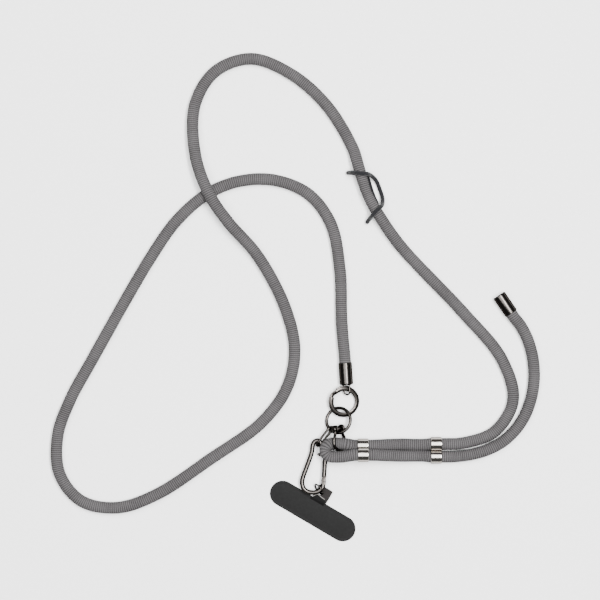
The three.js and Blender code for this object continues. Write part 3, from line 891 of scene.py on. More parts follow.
@dataclass
class Shackle:
    """The shackle: its bow, its two ears and the pin between them."""

    tilt: float = 53.0
    lean: float = 5.0
    lift: float = 1.1
    shift: float = 4.9
    wire: float = 2.1
    drop: float = 9.9
    ear_spacing: float = 7.2
    ear: float = 5.6
    ear_thickness: float = 2.0
    pin: float = 1.0
    head: float = 1.8
    clearance: float = 0.3

    @property
    def depth(self) -> float:
        """From the cord's middle to the middle of the bow's wire."""
        return CORD_RADIUS + self.wire / 2 + self.clearance

    @property
    def half_width(self) -> float:
        """Half the bow's width in its own tilted plane."""
        return self.depth / math.sin(math.radians(self.tilt))

    @property
    def held(self) -> float:
        """The height of the cord's middle where the bow holds it."""
        return self.depth + self.wire / 2 + self.lift

    def place(self, bight: "Bight") -> Place:
        """The shackle's frame: its pin at the origin, its ears along X, its bow along -Y.

        Args:
            bight: the cord's fold, which the bow goes round.

        Returns:
            The frame.
        """
        t, k = math.radians(self.tilt), math.radians(self.lean)
        x = np.array([math.cos(t) * math.cos(k), math.cos(t) * math.sin(k), -math.sin(t)])
        y = np.array([-math.sin(k), math.cos(k), 0])
        cord = np.array([bight.x + self.shift, bight.y + bight.radius, self.held])
        return Place.of(cord + self.drop * y, x, y)

    def build(self, bight: "Bight", finish: Finishes) -> list:
        """Make the bow with its ears, and the pin.

        Args:
            bight: the cord's fold.
            finish: the materials.

        Returns:
            The two pieces.
        """
        place = self.place(bight)
        ear, wide = self.ear_spacing / 2, self.half_width
        flare = wide - ear
        bends = ((0, -1.0), (0.25, -0.36 * self.drop), (0.8, -0.68 * self.drop))
        leg = [(-ear - share * flare, y) for share, y in bends]
        round_cord = arc(1, 180, 360, 13)[:, :2] * [wide, self.depth] - [0, self.drop]
        flat = np.array([*leg, *round_cord, *[(-x, y) for x, y in reversed(leg)]])
        line = spaced(smooth_curve(np.column_stack([flat, 0 * flat[:, 0]])), 0.35)
        shells = [moved(rod(line, self.wire / 2), place)]
        half, r, soft = self.ear_thickness / 2, self.ear / 2, 0.45
        hole = self.pin + self.clearance
        outer = rounding(r - soft, half - soft, soft)
        profile = [(hole, -half), *[(x, -h) for x, h in reversed(outer)], *outer, (hole, half)]
        for side in (-1, 1):
            local = Place.of((side * ear, 0, 0), (0, 1, 0), (1, 0, 0))
            shells.append(moved(turned(profile, 40, True), local, place))
        bow = make_piece("shackle_loop", shells, finish.dark, ("shackle_bow",))
        out, bevel = ear + half + self.clearance + 0.3, 0.2
        turn = np.radians(np.linspace(0, 90, 7)[:-1])
        dome = [(self.head * math.cos(a) ** 0.6, out + 0.35 + 0.85 * math.sin(a)) for a in turn]
        tip = [(0.05, -out), (self.pin - bevel, -out), (self.pin, bevel - out)]
        pin = [*tip, (self.pin, out), (self.head, out), *dome, (0.05, out + 1.2)]
        along = Place.of((0, 0, 0), (0, 1, 0), (-1, 0, 0))
        shells = [moved(turned(pin, 40), along, place)]
        return [bow, make_piece("shackle_screw", shells, finish.dark, ("shackle_pin",))]


@dataclass
class Bight:
    """The cord's fold, where it turns back on itself."""

    x: float = 26.4
    y: float = -108.7
    radius: float = 5.35
    turn: float = 4.65
    climb: tuple = (0, 0.3, 0.95, 1.7, 2.1, 2.35, 2.55, 2.75, 2.95, 3, 3.05, 3.15, 3.2)


@dataclass
class Caps:
    """The metal caps on the cord's ends, given as the closed end's place and direction."""

    with_eye: tuple = (36.3, -62.3, -86.4)
    plain: tuple = (144.8, 1.3, 124.4)
    bore: float = 4.3
    radius: float = 4.8
    length: float = 15.5
    end_wall: float = 1.4
    eye_wire: float = 1.2
    eye_half_width: float = 2.45
    eye_reach: float = 4.8
    eye_roll: float = 38.0

    def place(self, cap: tuple) -> Place:
        """A cap's frame: its closed end at the origin, pointing along +Y.

        Args:
            cap: the closed end's x, y and direction.

        Returns:
            The frame.
        """
        a = math.radians(cap[2])
        out = np.array([math.cos(a), math.sin(a), 0])
        return Place.of((cap[0], cap[1], self.radius), (out[1], -out[0], 0), out)

    def stretch(self, cap: tuple) -> np.ndarray:
        """The cord's middle inside a cap and just outside it.

        Args:
            cap: the closed end's x, y and direction.

        Returns:
            Three points, from the closed end to past the mouth.
        """
        depths = np.array([self.end_wall + 0.3, self.length, self.length + 4])
        return self.place(cap).to_world(np.stack([0 * depths, -depths, 0 * depths], axis=1))

    def mouth(self, cap: tuple) -> list:
        """The middle of a cap's mouth, in metres.

        Args:
            cap: the closed end's x, y and direction.

        Returns:
            The point.
        """
        return in_metres(self.place(cap).to_world(np.array([0, -self.length, 0]))).tolist()

    def cup(self) -> Shell:
        """The cup, with a rolled mouth and a rounded closed end.

        Returns:
            The cup in its own frame.
        """
        wall, soft = (self.radius - self.bore) / 2, 0.7
        lip = rounding((self.radius + self.bore) / 2, -self.length + wall, wall, 180, 360, 9)
        top = rounding(self.radius - soft, -soft, soft, count=8)
        return turned([(0.05, -self.end_wall), (self.bore, -self.end_wall), *lip, *top, (0.05, 0)], 64)

    def build(self, finish: Finishes) -> list:
        """Make both caps.

        Args:
            finish: the materials.

        Returns:
            The eyed cap and the plain cap.
        """
        w, reach = self.eye_half_width, self.eye_reach
        bend = arc(w, 180, 0, 13, (0, reach))
        flat = np.vstack([[-w, -0.7, 0], [-w, reach / 2, 0], bend, [w, reach / 2, 0], [w, -0.7, 0]])
        line = spaced(smooth_curve(flat), 0.25)
        a = math.radians(self.eye_roll)
        rolled = Place.of((0, 0, 0), (math.cos(a), 0, -math.sin(a)), (0, 1, 0))
        place = self.place(self.with_eye)
        eye = moved(rod(line, self.eye_wire / 2, 18, 0.2), rolled, place)
        solder = turned([(0.05, -0.2), (1.4, -0.2), (1.3, 0.25), (0.8, 0.45), (0.05, 0.5)], 32)
        feet = [Place.of((x, 0, 0), (1, 0, 0), (0, 1, 0)) for x in (-w, w)]
        eyed = [moved(self.cup(), place), eye, *[moved(solder, foot, rolled, place) for foot in feet]]
        bare = [moved(self.cup(), self.place(self.plain))]
        return [
            make_piece("eyed_cap", eyed, finish.dark, ("cap_with_eye",)),
            make_piece("tail_cap", bare, finish.dark, ("cap_plain",)),
        ]


@dataclass
class Cord:
    """The knitted cord: the places of its middle, with its lift above the table in diameters."""

    long_run: tuple = (
        (32.9, -18, 0), (31.6, 20, 0), (25.2, 52, 0), (9.5, 73, 0), (-14, 83, 0), (-39, 82.6, 0),
        (-61.8, 73.9, 0), (-84, 55, 0), (-104, 26.5, 0), (-144.5, -44.3, 0), (-160.7, -73.9, 0),
        (-169.3, -99, 0), (-167.9, -126, 0), (-152.5, -145.2, 0), (-127, -150, 0), (-99, -140.7, 0),
        (-60, -115, 0), (-24, -89.3, 0), (-5.8, -64, 0), (-0.6, -37, 0.01), (-8, -6, 0.05),
        (-27, 29.5, 0.3), (-47.9, 53.3, 0.86), (-61.2, 73, 1.08), (-71.3, 102, 0.5), (-71.5, 137, 0.07),
        (-57, 160.6, 0.01), (-31.5, 169.6, 0), (-3, 158.6, 0), (22.5, 136, 0.02), (40.5, 106.5, 0.04),
        (45, 92, 0.4), (50.9, 73, 0.42), (59.7, 57.6, 0.4), (75, 36, 0.07), (119.2, -10.8, 0.02),
        (147.3, -45, 0), (154.9, -74, 0), (141.5, -96, 0), (119, -104, 0.05),
    )
    tail: tuple = (
        (115.3, -113.4, 0.02), (126.5, -111.8, 0.01), (137.5, -108.4, 0), (147.7, -102.8, 0),
        (156.2, -95, 0), (162.7, -85.6, 0), (167, -75, 0), (169.4, -64, 0), (169.9, -52.6, 0),
        (168.5, -41.1, 0), (165.2, -30, 0.02), (160.2, -20.4, 0.06),
    )
    pinch: tuple = (51.5, 72.5)
    pinch_depth: float = 0.13
    pinch_reach: float = 13.0
    step: float = 0.8
    sides: int = 28

    def lifted(self, route: tuple) -> np.ndarray:
        """Turn a route into places of the cord's middle.

        Args:
            route: x, y and lift of each point.

        Returns:
            Rows of x, y and z.
        """
        return np.array(route, float) * [1, 1, 2 * CORD_RADIUS] + [0, 0, CORD_RADIUS]

    def long_line(self, caps: Caps, sliders: Sliders) -> np.ndarray:
        """The long run's middle, from the eyed cap to the outer slider.

        Args:
            caps: the caps.
            sliders: the sliders.

        Returns:
            Even samples of the line.
        """
        x, y = sliders.outer
        y += sliders.pitch / 2
        ends = [(x + sliders.length / 2 + 3, y, sliders.radius), (x + 0.15, y, sliders.radius)]
        points = np.vstack([caps.stretch(caps.with_eye), self.lifted(self.long_run), ends])
        return spaced(smooth_curve(points), self.step)

    def tail_line(self, caps: Caps, sliders: Sliders) -> np.ndarray:
        """The tail's middle, from the outer slider to the plain cap.

        Args:
            caps: the caps.
            sliders: the sliders.

        Returns:
            Even samples of the line.
        """
        x, y = sliders.outer
        y -= sliders.pitch / 2
        starts = [(x + 0.15, y, sliders.radius), (x + sliders.length / 2 + 3, y, sliders.radius)]
        points = np.vstack([starts, self.lifted(self.tail), caps.stretch(caps.plain)[::-1]])
        return spaced(smooth_curve(points), self.step)

    def fold_line(self, sliders: Sliders, shackle: Shackle, bight: Bight) -> np.ndarray:
        """The folded stretch's middle, out from the outer slider, round the fold and back.

        Args:
            sliders: the sliders.
            shackle: the shackle.
            bight: the fold.

        Returns:
            Even samples of the line.
        """
        (ox, oy), (ix, iy), half, low = sliders.outer, sliders.inner, sliders.length / 2, sliders.radius

        def leg(side: int, inner: float, end: float) -> np.ndarray:
            """One run of the fold, chosen places from the outer slider to the shackle.

            Args:
                side: 1 for the run on the side of +Y, -1 for the other.
                inner: the run's height in the inner slider.
                end: its height by the shackle.

            Returns:
                Rows of x, y and z.
            """
            out_y, in_y = oy + side * sliders.pitch / 2, iy + side * sliders.reach
            return np.array([
                (ox - 0.15, out_y, low), (ox - half, out_y, low), (ox - half - 5, oy + side * 3.98, low),
                ((ox + ix) / 2, iy + side * 3.95, (low + inner) / 2),
                (ix + half + 3, in_y, inner), (ix + half, in_y, inner), (ix - half, in_y, inner),
                (ix - half - 2, in_y, inner), (bight.x + shackle.shift + 5.4, bight.y + side * 4.05, end),
                (bight.x + shackle.shift + 2.0, bight.y + side * 4.55, end),
            ])

        bend = arc(1, 90, 270, len(bight.climb)) * [bight.radius, bight.turn, 0] + [bight.x, bight.y, 0]
        bend[:, 2] = shackle.held + np.array(bight.climb)
        high = low + sliders.rise
        points = np.vstack([leg(1, low, shackle.held), bend, leg(-1, high, high - 0.6)[::-1]])
        return spaced(smooth_curve(points), self.step)

    def tube(self, line: np.ndarray) -> Shell:
        """The cord round its middle line.

        Its radius wavers by at most 1.6 parts in a hundred: a sum of slow waves along its length
        and round it, so that its outline isn't drawn with a ruler. Where the elastic squeezes it,
        it is thinner by a bell curve of the distance to the middle of the squeeze.

        Args:
            line: even samples of the middle.

        Returns:
            The cord's surface.
        """
        s = np.arange(len(line)) * self.step
        a = np.linspace(0, 2 * np.pi, self.sides, endpoint=False)
        waver = sum(
            size * np.sin(s[:, None] / pace + lobes * a)
            for size, pace, lobes in ((0.006, 5.3, 2), (0.006, 11.7, -1), (0.004, 2.1, 3))
        )
        to_pinch = np.linalg.norm(line[:, :2] - self.pinch, axis=1)[:, None]
        pinch = self.pinch_depth * np.exp(-((to_pinch / self.pinch_reach) ** 2))
        radius = CORD_RADIUS * (CORD_SHOWN + waver - pinch)
        ahead = directions(line, False)
        flat = radius[..., None] * oval(self.sides)
        rings = stood(line, flat, ahead, unit(np.cross(UP, ahead)))
        rings[..., 2] = np.maximum(rings[..., 2], 0.02)
        return loft(rings, False, s)

    def build(self, caps: Caps, sliders: Sliders, shackle: Shackle, bight: Bight, finish: Finishes) -> dict:
        """Make the three stretches of cord.

        Args:
            caps: the caps.
            sliders: the sliders.
            shackle: the shackle.
            bight: the fold.
            finish: the materials.

        Returns:
            Each stretch's piece and line, by name.
        """
        made = {}
        for name, node, line in (
            ("long_cord", "rope_long_run", self.long_line(caps, sliders)),
            ("folded_cord", "rope_fold", self.fold_line(sliders, shackle, bight)),
            ("tail_cord", "rope_tail", self.tail_line(caps, sliders)),
        ):
            piece = make_piece(name, [self.tube(line)], finish.cord, (node,), sharp=80)
            made[name] = (piece, line)
        return made

    def declare(self, caps: Caps, sliders: Sliders) -> None:
        """Args:
            caps: the caps.
            sliders: the sliders.
        """
        x, y = sliders.outer
        mouth = np.array([x + sliders.length / 2, y - sliders.pitch / 2, sliders.radius])
        exits = {"long_cord": caps.mouth(caps.with_eye), "tail_cord": in_metres(mouth).tolist()}


@dataclass
class Rings:
    """The split ring, the link ring and the slim link that hang between cap, shackle and carabiner."""

    split_at: tuple = (34.6, -74.5, 4.15)
    split_slope: tuple = (-0.22, 0.105)
    split_radius: float = 9.5
    band: float = 2.8
    coil: float = 0.85
    coil_offset: float = 0.7
    step_at: float = 126.0
    step_length: float = 25.0
    end_gap: float = 8.0
    link_at: tuple = (30.6, -87.8, 5.1)
    link_slope: tuple = (0.38, -0.244)
    link_radius: float = 8.95
    link_wire: float = 2.3
    slim_at: tuple = (20.85, -99.2, 4.15)
    slim_turn: float = 53.1
    slim_slope: float = 0.07
    slim_tilt: float = 65.0
    slim_width: float = 6.6
    slim_length: float = 16.9
    slim_wire: float = 1.8

    @staticmethod
    def sloped(at: tuple, slope: tuple) -> Place:
        """A frame that lies on a slope.

        Args:
            at: its origin.
            slope: its rise along X and along Y.

        Returns:
            The frame.
        """
        normal = unit(np.array([-slope[0], -slope[1], 1]))
        x = unit(np.array([1, 0, slope[0]]))
        return Place.of(at, x, np.cross(normal, x))

    @staticmethod
    def tilted(at: tuple, turn: float, slope: float, tilt: float) -> Place:
        """A frame whose first axis runs along a direction and which tilts about it.

        Args:
            at: its origin.
            turn: the first axis's direction seen from above.
            slope: how the first axis climbs.
            tilt: the tilt about it.

        Returns:
            The frame.
        """
        a, t = math.radians(turn), math.radians(tilt)
        x = unit(np.array([math.cos(a), math.sin(a), slope]))
        level = unit(np.array([-x[1], x[0], 0]))
        return Place.of(at, x, math.cos(t) * level + math.sin(t) * np.cross(x, level))

    def split_ring(self, finish: Finishes) -> bpy.types.Object:
        """Make the split ring: two coils of flat wire, with one step up from the first to the second.

        Args:
            finish: the materials.

        Returns:
            The ring.
        """
        turn = np.linspace(0, 720 - self.step_length - self.end_gap, 420)
        share = np.clip((turn - 360) / self.step_length + 1, 0, 1)
        climb = share * share * (3 - 2 * share)
        a = np.radians(self.step_at - turn)
        radius = self.split_radius + self.coil_offset * (0.5 - climb)
        line = np.stack([radius * np.cos(a), radius * np.sin(a), (self.coil + 0.12) * (climb - 0.5)], axis=1)
        section = oval(28, self.band / 2, self.coil / 2, 2.3)
        from_end = np.minimum(np.arange(len(line)), np.arange(len(line))[::-1])
        taper = 0.72 + 0.28 * np.sqrt(np.clip(from_end / 4, 0, 1))
        shell = sweep(line, section, scale=taper)
        place = self.sloped(self.split_at, self.split_slope)
        return make_piece("key_ring", [moved(shell, place)], finish.dark, ("split_ring",))

    def link_ring(self, finish: Finishes) -> bpy.types.Object:
        """Make the plain ring, with the faint line where its wire's ends meet.

        Args:
            finish: the materials.

        Returns:
            The ring.
        """
        line = arc(self.link_radius, 150, 510, 181)[:-1]
        from_seam = np.arange(len(line)) - 1.0
        scale = 1 - 0.06 * np.exp(-((from_seam / 0.8) ** 2))
        shell = sweep(line, oval(28) * self.link_wire / 2, closed=True, scale=scale)
        place = self.sloped(self.link_at, self.link_slope)
        return make_piece("plain_ring", [moved(shell, place)], finish.dark, ("link_ring",))

    def slim_link(self, finish: Finishes) -> bpy.types.Object:
        """Make the slim link with straight sides and round ends.

        Args:
            finish: the materials.

        Returns:
            The link.
        """
        r = self.slim_width / 2
        reach = self.slim_length / 2 - r
        line = np.vstack([arc(r, -90, 90, 19, (reach, 0)), arc(r, 90, 270, 19, (-reach, 0))])
        line = spaced(line, 0.3, True)
        shell = sweep(line, oval(24) * self.slim_wire / 2, closed=True)
        place = self.tilted(self.slim_at, self.slim_turn, self.slim_slope, self.slim_tilt)
        return make_piece("slim_link", [moved(shell, place)], finish.dark, ("connector_link",))

    def build(self, finish: Finishes) -> list:
        """Make the three.

        Args:
            finish: the materials.

        Returns:
            The pieces.
        """
        return [self.split_ring(finish), self.link_ring(finish), self.slim_link(finish)]


@dataclass
class Carabiner:
    """The pear shaped carabiner: a bent wire body with a catch, and a sprung gate on a rivet."""

    at: tuple = (12.2, -139.1)
    width: float = 15.0
    length: float = 36.9
    wire: float = 3.3
    top_height: float = 4.0
    end_height: float = 5.25
    tongue: float = 1.1
    catch_wire: float = 1.7
    rivet: float = 1.7
    clearance: float = 0.3
    gate_length: float = 15.4
    body: tuple = (
        (0.55, 0.735), (0.5, 0.82), (0.44, 0.905), (0.36, 0.972), (0.22, 1), (0.08, 0.972), (0, 0.905),
        (-0.015, 0.84), (-0.05, 0.76), (-0.155, 0.63), (-0.32, 0.45), (-0.45, 0.305), (-0.5, 0.195),
        (-0.425, 0.08), (-0.24, 0.018), (0, 0), (0.25, 0.02), (0.44, 0.085), (0.515, 0.165),
    )
    catch: tuple = ((0.54, 0.735), (0.38, 0.715), (0.235, 0.75))
    hinge: tuple = (0.525, 0.232)
    gate_bend: tuple = (0.01, 0.065)

    def place(self) -> Place:
        """The carabiner's frame: the middle of its wide end at the origin, its narrow end along +Y.

        Returns:
            The frame.
        """
        y = (0, self.length, self.top_height - self.end_height)
        return Place.of((*self.at, self.end_height), (1, 0, 0), y)

    def points(self, table: tuple) -> np.ndarray:
        """Turn shares of the width and length into places.

        Args:
            table: the shares.

        Returns:
            Rows of x, y and z.
        """
        return np.array([(a * self.width, b * self.length, 0) for a, b in table])

    def disc(self, middle: np.ndarray, radius: float, low: float, high: float, soft: float) -> Shell:
        """A round plate square to the carabiner's plane.

        Args:
            middle: its centre in plan.
            radius: its radius.
            low: its lower face.
            high: its upper face.
            soft: the rounding of its edges.

        Returns:
            The plate in the carabiner's frame.
        """
        top = rounding(radius - soft, high - soft, soft)
        bottom = [(r, low + high - h) for r, h in reversed(top)]
        shell = turned([(0.02, low), *bottom, *top, (0.02, high)], 40)
        return moved(shell, Place.of(middle, (0, 1, 0), (0, 0, 1)))

    def build(self, finish: Finishes) -> list:
        """Make the body and the gate.

        Args:
            finish: the materials.

        Returns:
            The two pieces.
        """
        place, r = self.place(), self.wire / 2
        hinge = self.points((self.hinge,))[0]
        table = self.points(self.body)
        stop = hinge - [0, r + self.clearance, 0]
        line = spaced(smooth_curve(np.vstack([table, stop])), 0.4)
        shells = [rod(line, r, 32, 0.9)]
        catch = spaced(smooth_curve(self.points(self.catch)), 0.25)
        shells.append(rod(catch, self.catch_wire / 2, 20, 0.5))
        gap = self.tongue / 2 + self.clearance
        for low, high in ((-r, -gap), (gap, r)):
            shells.append(self.disc(hinge, r, low, high, 0.35))
            foot = np.array([hinge - [0, 0.3, 0], hinge - [0, r + 1.2, 0]]) + [0, 0, (low + high) / 2]
            line = spaced(foot, 0.3)
            shells.append(sweep(line, oval(24, r * 0.98, (high - low) / 2, 3.5)))
        head = r + 0.12
        shells.append(self.disc(hinge, self.rivet / 2, -head, head, 0.3))
        shells = [moved(s, place) for s in shells]
        body = make_piece("carabiner_bow", shells, finish.dark, ("carabiner_body",))
        start = r + 0.5
        across = self.width * np.array(self.gate_bend)
        ends = hinge + np.array([(across[0], start, 0), (across[1], self.gate_length, 0)])
        line = spaced(np.linspace(ends[0], ends[1], 40), 0.3)
        bar = rod(line, r, 32, 0.8)
        middle = ends[0] + 0.8 * (ends[1] - ends[0])
        ahead = unit(ends[1] - ends[0])
        rim = [(r - 0.1, -0.9), (r + 0.12, -0.8), (r + 0.15, -0.5)]
        collar = turned([*rim, *[(x, -h) for x, h in reversed(rim)]], 40, True)
        collar = moved(collar, Place.of(middle, np.cross(ahead, UP), ahead))
        tongue = self.tongue / 2
        flat = np.array([hinge, hinge + [0.4, start + 0.8, 0]])
        neck = sweep(spaced(flat, 0.3), oval(24, 1.45, tongue, 5))
        eye = self.disc(hinge, r - 0.1, -tongue, tongue, 0.2)
        shells = [moved(s, place) for s in (bar, collar, neck, eye)]
        gate = make_piece("sprung_gate", shells, finish.dark, ("carabiner_gate",), Body.GATE)
        return [body, gate]


@dataclass
class PhoneTab:
    """The flat tab, the strap sewn to it and the ring in the strap."""

    at: tuple = (16.9, -144.9)
    length: float = 68.0
    width: float = 18.3
    thickness: float = 0.8
    strap_width: float = 10.9
    layer: float = 0.6
    rise: float = 1.5
    reach: float = 10.2
    eyelet: tuple = (-2.0, 5.0)
    hole: float = 2.6
    ring_at: tuple = (16.7, -136.8, 4.45)
    ring_turn: float = 126.0
    ring_tilt: float = -66.0
    ring_size: float = 8.2
    ring_wire: float = 1.2

    def place(self) -> Place:
        """The tab's frame: the middle of its upper edge at the origin, the strap along +Y.

        Returns:
            The frame.
        """
        a = math.radians(TAB_TURN)
        return Place.of((*self.at, 0), (math.cos(a), math.sin(a), 0), (-math.sin(a), math.cos(a), 0))

    def plate(self, outline: np.ndarray, stack: list) -> Shell:
        """Stack a closed outline into a plate.

        Args:
            outline: rows of x and y, anticlockwise.
            stack: how far in and how high each ring of the plate lies, from its lower face up.

        Returns:
            The plate in the tab's frame.
        """
        ahead = unit(np.roll(outline, -1, axis=0) - np.roll(outline, 1, axis=0))
        inward = np.stack([-ahead[:, 1], ahead[:, 0]], axis=1)
        rings = [np.column_stack([outline + inset * inward, np.full(len(outline), z)]) for inset, z in stack]
        return loft(np.array(rings))

    def pad(self) -> Shell:
        """The pad: its outline stacked with rounded edges and a shallow hem along the rim.

        Returns:
            The pad in the tab's frame.
        """
        r = self.width / 2
        half = self.length / 2 - r
        ends = [arc(r, 90, 270, 60, (-half, -r))[:, :2], arc(r, -90, 90, 60, (half, -r))[:, :2]]
        t, b = self.thickness, 0.3
        edge = np.radians(np.linspace(-90, 90, 11))
        rim = [
            (b * (1 - math.cos(a)), t / 2 + (t / 2 - b) * np.sign(a) * min(1, abs(a)) + b * math.sin(a))
            for a in edge
        ]
        stack = [(2.6, 0.0), *rim, (1.5, t), (1.9, t - 0.05), (2.3, t - 0.05), (2.7, t)]
        return self.plate(spaced(np.vstack(ends), 0.6, True), stack)

    def brow(self) -> np.ndarray:
        """The upper edge of the gusset that the strap comes out of.

        Returns:
            Samples of x and y, from the right end to the left one.
        """
        w = self.strap_width
        shares = ((0.42, 0.6), (0.36, 2.2), (0.02, 2.7), (-0.3, 3.1), (-0.45, 1.0), (-0.57, -1.1))
        return spaced(smooth_curve(np.array(shares) * [w, 1]), 0.3)

    def gusset(self) -> Shell:
        """The gusset: a patch of the pad's cloth over the strap's root.

        Returns:
            The patch in the tab's frame.
        """
        w = self.strap_width
        outline = spaced(np.vstack([self.brow(), [(-0.6 * w, -2.2), (0.42 * w, -2.2)]]), 0.3, True)
        patch = self.plate(outline, [(0, 0.1), (0, 0.92), (0.1, 1)])
        patch.points[:, 2] *= self.gusset_height(patch.points[:, 1])
        return patch

    def gusset_height(self, y: np.ndarray) -> np.ndarray:
        """How high the gusset's upper face lies: it climbs from the pad to just above the strap.

        Args:
            y: distance from the pad's upper edge.

        Returns:
            The height at each distance.
        """
        low, high = self.thickness + 0.05, self.rise + 2 * self.layer + 0.5
        return np.interp(y, [-2.2, -0.9, 1.8], [low, low + 1.1, high])

    def edge_highlight_rod(self) -> Shell:
        """A thin pale rod along the gusset's brow: a painted highlight of the brow's lit edge.

        Returns:
            The painted highlight in the tab's frame.
        """
        line = self.brow()[9:-3]
        height = self.gusset_height(line[:, 1])
        return rod(np.column_stack([line, height]), 0.22, 12, 0.1)

    def strap(self) -> Shell:
        """The strap: webbing folded double, with a hole for the ring.

        Its rings run from the hole's edge to the strap's outline over the upper face, round the edge
        and back under it. Its height follows the distance from the pad's edge.

        Returns:
            The strap in the tab's frame.
        """
        n, half = 120, self.strap_width / 2
        foot, rise = self.thickness + 0.3, self.rise + 0.3
        a = np.linspace(0, 2 * np.pi, n, endpoint=False)
        hole = oval(n) * self.hole / 2 + self.eyelet
        low, high = -0.6, self.reach
        middle = np.array([0, (low + high) / 2])
        size = np.array([half, (high - low) / 2])
        square = oval(n, 1, 1, 14) * size + middle
        toward = unit(square - self.eyelet)
        angle = np.arctan2(toward[:, 1], toward[:, 0]) % (2 * np.pi)
        order = np.argsort(angle)
        rim = np.stack(
            [np.interp(a, angle[order], square[order, k], period=2 * np.pi) for k in (0, 1)], axis=1
        )
        root, crest = foot + self.layer, rise + 2 * self.layer

        def ring(flat: np.ndarray, drop: float) -> np.ndarray:
            """Lay a ring of the strap at its height, which follows the distance from the pad's edge.

            Args:
                flat: the ring's points in plan.
                drop: the share of the way from the upper face to the lower one.

            Returns:
                Rows of x, y and z.
            """
            y = flat[:, 1]
            top = np.interp(y, [-3, 1, 2.4, high - 0.5, high], [root, root, crest, crest, crest - 0.15])
            under = np.interp(y, [-3, 1.6, 3, high], [foot, foot, rise, rise])
            return np.column_stack([flat, top * (1 - drop) + under * drop])

        faces = hole + np.linspace(0.04, 0.97, 14)[:, None, None] * (rim - hole)
        edges = ((0.12, 0), (0.4, 0), (0.5, 0.12), (0.6, 0), (0.88, 0))  # the fall, and the fold's groove
        rings = [ring(flat, 0) for flat in faces]
        rings += [ring(rim + groove * unit(middle - rim), drop) for drop, groove in edges]
        rings += [ring(flat, 1) for flat in faces[::-1]]
        return loft(np.array(rings), True, np.arange(len(rings), dtype=float))

    def build(self, finish: Finishes) -> list:
        """Make the pad, its strap, its ring and the painted highlight on the gusset's brow.

        Args:
            finish: the materials.

        Returns:
            The four pieces.
        """
        place = self.place()
        cloth = [moved(self.pad(), place), moved(self.gusset(), place)]
        pad = make_piece("case_tab", cloth, finish.tab, ("phone_tab",), sharp=60)
        # A pale rod on the gusset's brow: a painted highlight of its lit edge
        edge = make_piece("gusset_painted_highlight", [moved(self.edge_highlight_rod(), place)], finish.painted_edge_highlight)
        webbing = [moved(self.strap(), place)]
        strap = make_piece("tab_webbing", webbing, finish.webbing, ("tab_strap",))
        line = arc(self.ring_size / 2, 0, 360, 97)[:-1]
        shell = sweep(line, oval(22) * self.ring_wire / 2, closed=True)
        tilt = Rings.tilted(self.ring_at, self.ring_turn, 0, self.ring_tilt)
        ring = make_piece("tab_link", [moved(shell, tilt)], finish.dark, ("tab_ring",))
        return [pad, edge, strap, ring]


@dataclass
class Keeper:
    """The thick elastic ring round the cord, drawn out flat from tip to tip."""

    over: tuple = (
        (38.9, 88.4), (40.4, 88.2), (43.4, 87.9), (46.8, 87.5), (50.3, 87.3), (53.6, 86.5), (56.2, 84.4),
        (58, 82), (59.3, 79), (60.6, 75.4), (61.6, 72.3), (62.1, 69.3), (61.8, 66.2), (60.2, 63.6),
        (57.4, 61.1), (54.7, 58.1), (53, 56), (52, 54.6),
    )
    tip: tuple = (51.1, 53.3)
    under: tuple = (
        (52, 54.6), (53.3, 56.4), (55.4, 58.9), (57.3, 61.4), (58.3, 64.2), (57.9, 67), (56.3, 70.4),
        (54.6, 74.9), (53.3, 79), (52.2, 83), (50.8, 86), (48.2, 87.5), (44, 88.2), (40.4, 88.4),
        (38.9, 88.5),
    )
    back_tip: tuple = (37.4, 88.45)
    wire: float = 2.9
    clearance: float = 0.3
    fall: float = 1.3
    nearest_x: float = 30.0

    def heights(self, cord_line: np.ndarray) -> np.ndarray:
        """How high the ring's upper side runs.

        Over the cord its height is the cord's plus the root of the squared reach less the squared
        distance to the cord's middle. Beside the cord it falls steadily, down to the table, or to
        the ring's lower side near the tips. Cord left of nearest_x is another stretch of it.

        Args:
            cord_line: the long run's middle.

        Returns:
            A height for each point of the upper side.
        """
        flat = np.array(self.over)
        apart = np.linalg.norm(flat[:, None] - cord_line[None, :, :2], axis=2)
        apart[:, cord_line[:, 0] < self.nearest_x] = np.inf
        nearest = apart.argmin(axis=1)
        away, middle = apart.min(axis=1), cord_line[nearest, 2]
        reach = CORD_RADIUS + self.wire / 2 + 2 * self.clearance
        above = middle + np.sqrt(np.maximum(0, reach**2 - away**2))
        beside = middle - self.fall * (away - reach)
        floor = np.full(len(flat), self.wire / 2)
        floor[[0, 1, -2, -1]] += self.wire + self.clearance
        return np.maximum(floor, np.where(away < reach, above, beside))

    def build(self, cord_line: np.ndarray, finish: Finishes) -> bpy.types.Object:
        """Make the ring: its upper side, a tip, its lower side on the table and the other tip.

        Args:
            cord_line: the long run's middle.
            finish: the materials.

        Returns:
            The ring.
        """
        low, pitch = self.wire / 2, self.wire + self.clearance
        upper = np.column_stack([self.over, self.heights(cord_line)])
        lower = np.column_stack([self.under, np.full(len(self.under), low)])
        points = np.vstack([upper, [*self.tip, low + pitch / 2], lower, [*self.back_tip, low + pitch / 2]])
        line = spaced(smooth_curve(points, closed=True), 0.4, True)
        line[:, 2] = np.maximum(line[:, 2], low + 0.02)
        ahead = directions(line, True)
        side = unit(np.cross(UP, ahead) + 1e-6)
        turn = np.sign((side * np.roll(side, 1, axis=0)).sum(axis=1))
        side = side * np.cumprod(turn)[:, None]
        shells = [loft(stood(line, oval(22) * low, ahead, side), True)]
        return make_piece("elastic_keeper", shells, finish.elastic, ("elastic_loop",), sharp=80)


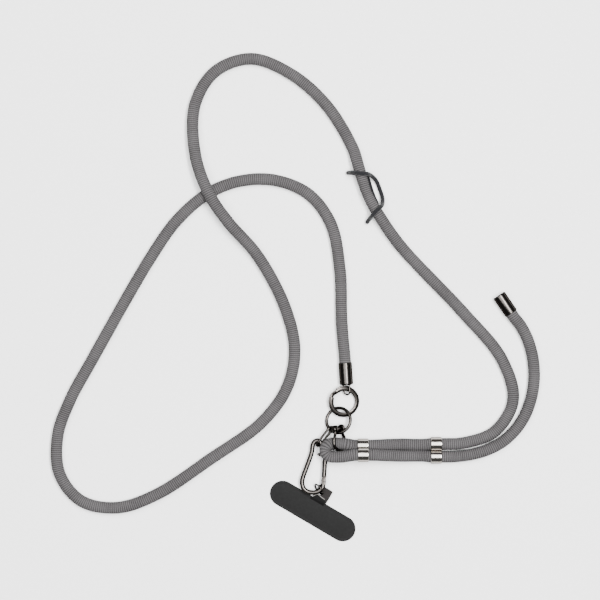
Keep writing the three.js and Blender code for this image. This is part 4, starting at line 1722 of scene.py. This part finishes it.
@dataclass
class Studio:
    """The white sheet, the lights and the camera straight above the strap."""

    view_middle: tuple = (3.44, -2.02)
    view_width: float = 428.4
    lens: float = 120.0
    sensor: float = 36.0
    surround: float = 0.16

    def softbox(self, name: str, at: tuple, size: tuple, power: float) -> None:
        """Hang a soft light that faces the strap.

        Args:
            name: its name.
            at: its place in metres.
            size: its width and height in metres.
            power: its power in watts.
        """
        light = bpy.data.lights.new(name, "AREA")
        light.shape, light.size, light.size_y, light.energy = "RECTANGLE", size[0], size[1], power
        lamp = placed(name, light)
        back = unit(np.array(at, float))
        right = unit(np.cross([0.0, 1.0, 0.001], back))
        up = np.cross(back, right)
        turn = np.eye(4)
        turn[:3] = np.column_stack([right, up, back, at])
        lamp.matrix_world = Matrix(turn.tolist())

    def build(self) -> None:
        """Make the sheet, the lights, the surrounding light and the camera."""
        corners = np.array([(-3, -3, 0), (3, -3, 0), (3, 3, 0), (-3, 3, 0)], float)
        mesh = bpy.data.meshes.new("sheet")
        mesh.from_pydata(corners, [], [(0, 1, 2, 3)])
        mesh.materials.append(PaperFinish().build())
        placed("sheet", mesh)
        self.softbox("key_box", (-0.1, 0.25, 1.9), (1.9, 1.9), 104)
        self.softbox("strip_box", (0.5, 0.1, 1.85), (0.26, 1.0), 62)
        world = bpy.data.worlds.new("studio")
        world.use_nodes = True
        background = world.node_tree.nodes["Background"]
        background.inputs[0].default_value = (1, 1, 1, 1)
        background.inputs[1].default_value = self.surround
        bpy.context.scene.world = world
        camera = bpy.data.cameras.new("camera")
        camera.lens, camera.sensor_width = self.lens, self.sensor
        view = placed("camera", camera)
        distance = self.view_width * MM * self.lens / self.sensor
        view.location = (self.view_middle[0] * MM, self.view_middle[1] * MM, distance)
        bpy.context.scene.camera = view


def plain(bounds: tuple) -> list:
    """Turn a box into plain lists of numbers.

    Args:
        bounds: its two corners.

    Returns:
        The corners as lists.
    """
    return [[float(v) for v in corner] for corner in bounds]


def main() -> None:
    """Dress the strap, from the camera and the cord to the smallest fitting."""
    logging.basicConfig(level=logging.INFO)
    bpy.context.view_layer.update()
    Studio().build()
    finish = Finishes()
    sliders, bight, shackle, caps = Sliders(), Bight(), Shackle(), Caps()
    cord = Cord()
    cords = cord.build(caps, sliders, shackle, bight, finish)
    _, tail_cap = caps.build(finish)
    cord.declare(caps, sliders)
    sliders.build("slider_outer", sliders.outer, 0, finish)
    sliders.build("slider_inner", sliders.inner, sliders.roll, finish)
    shackle.build(bight, finish)
    Rings().build(finish)
    Carabiner().build(finish)
    PhoneTab().build(finish)
    Keeper().build(cords["long_cord"][1], finish)


if __name__ == "__main__":
    main()
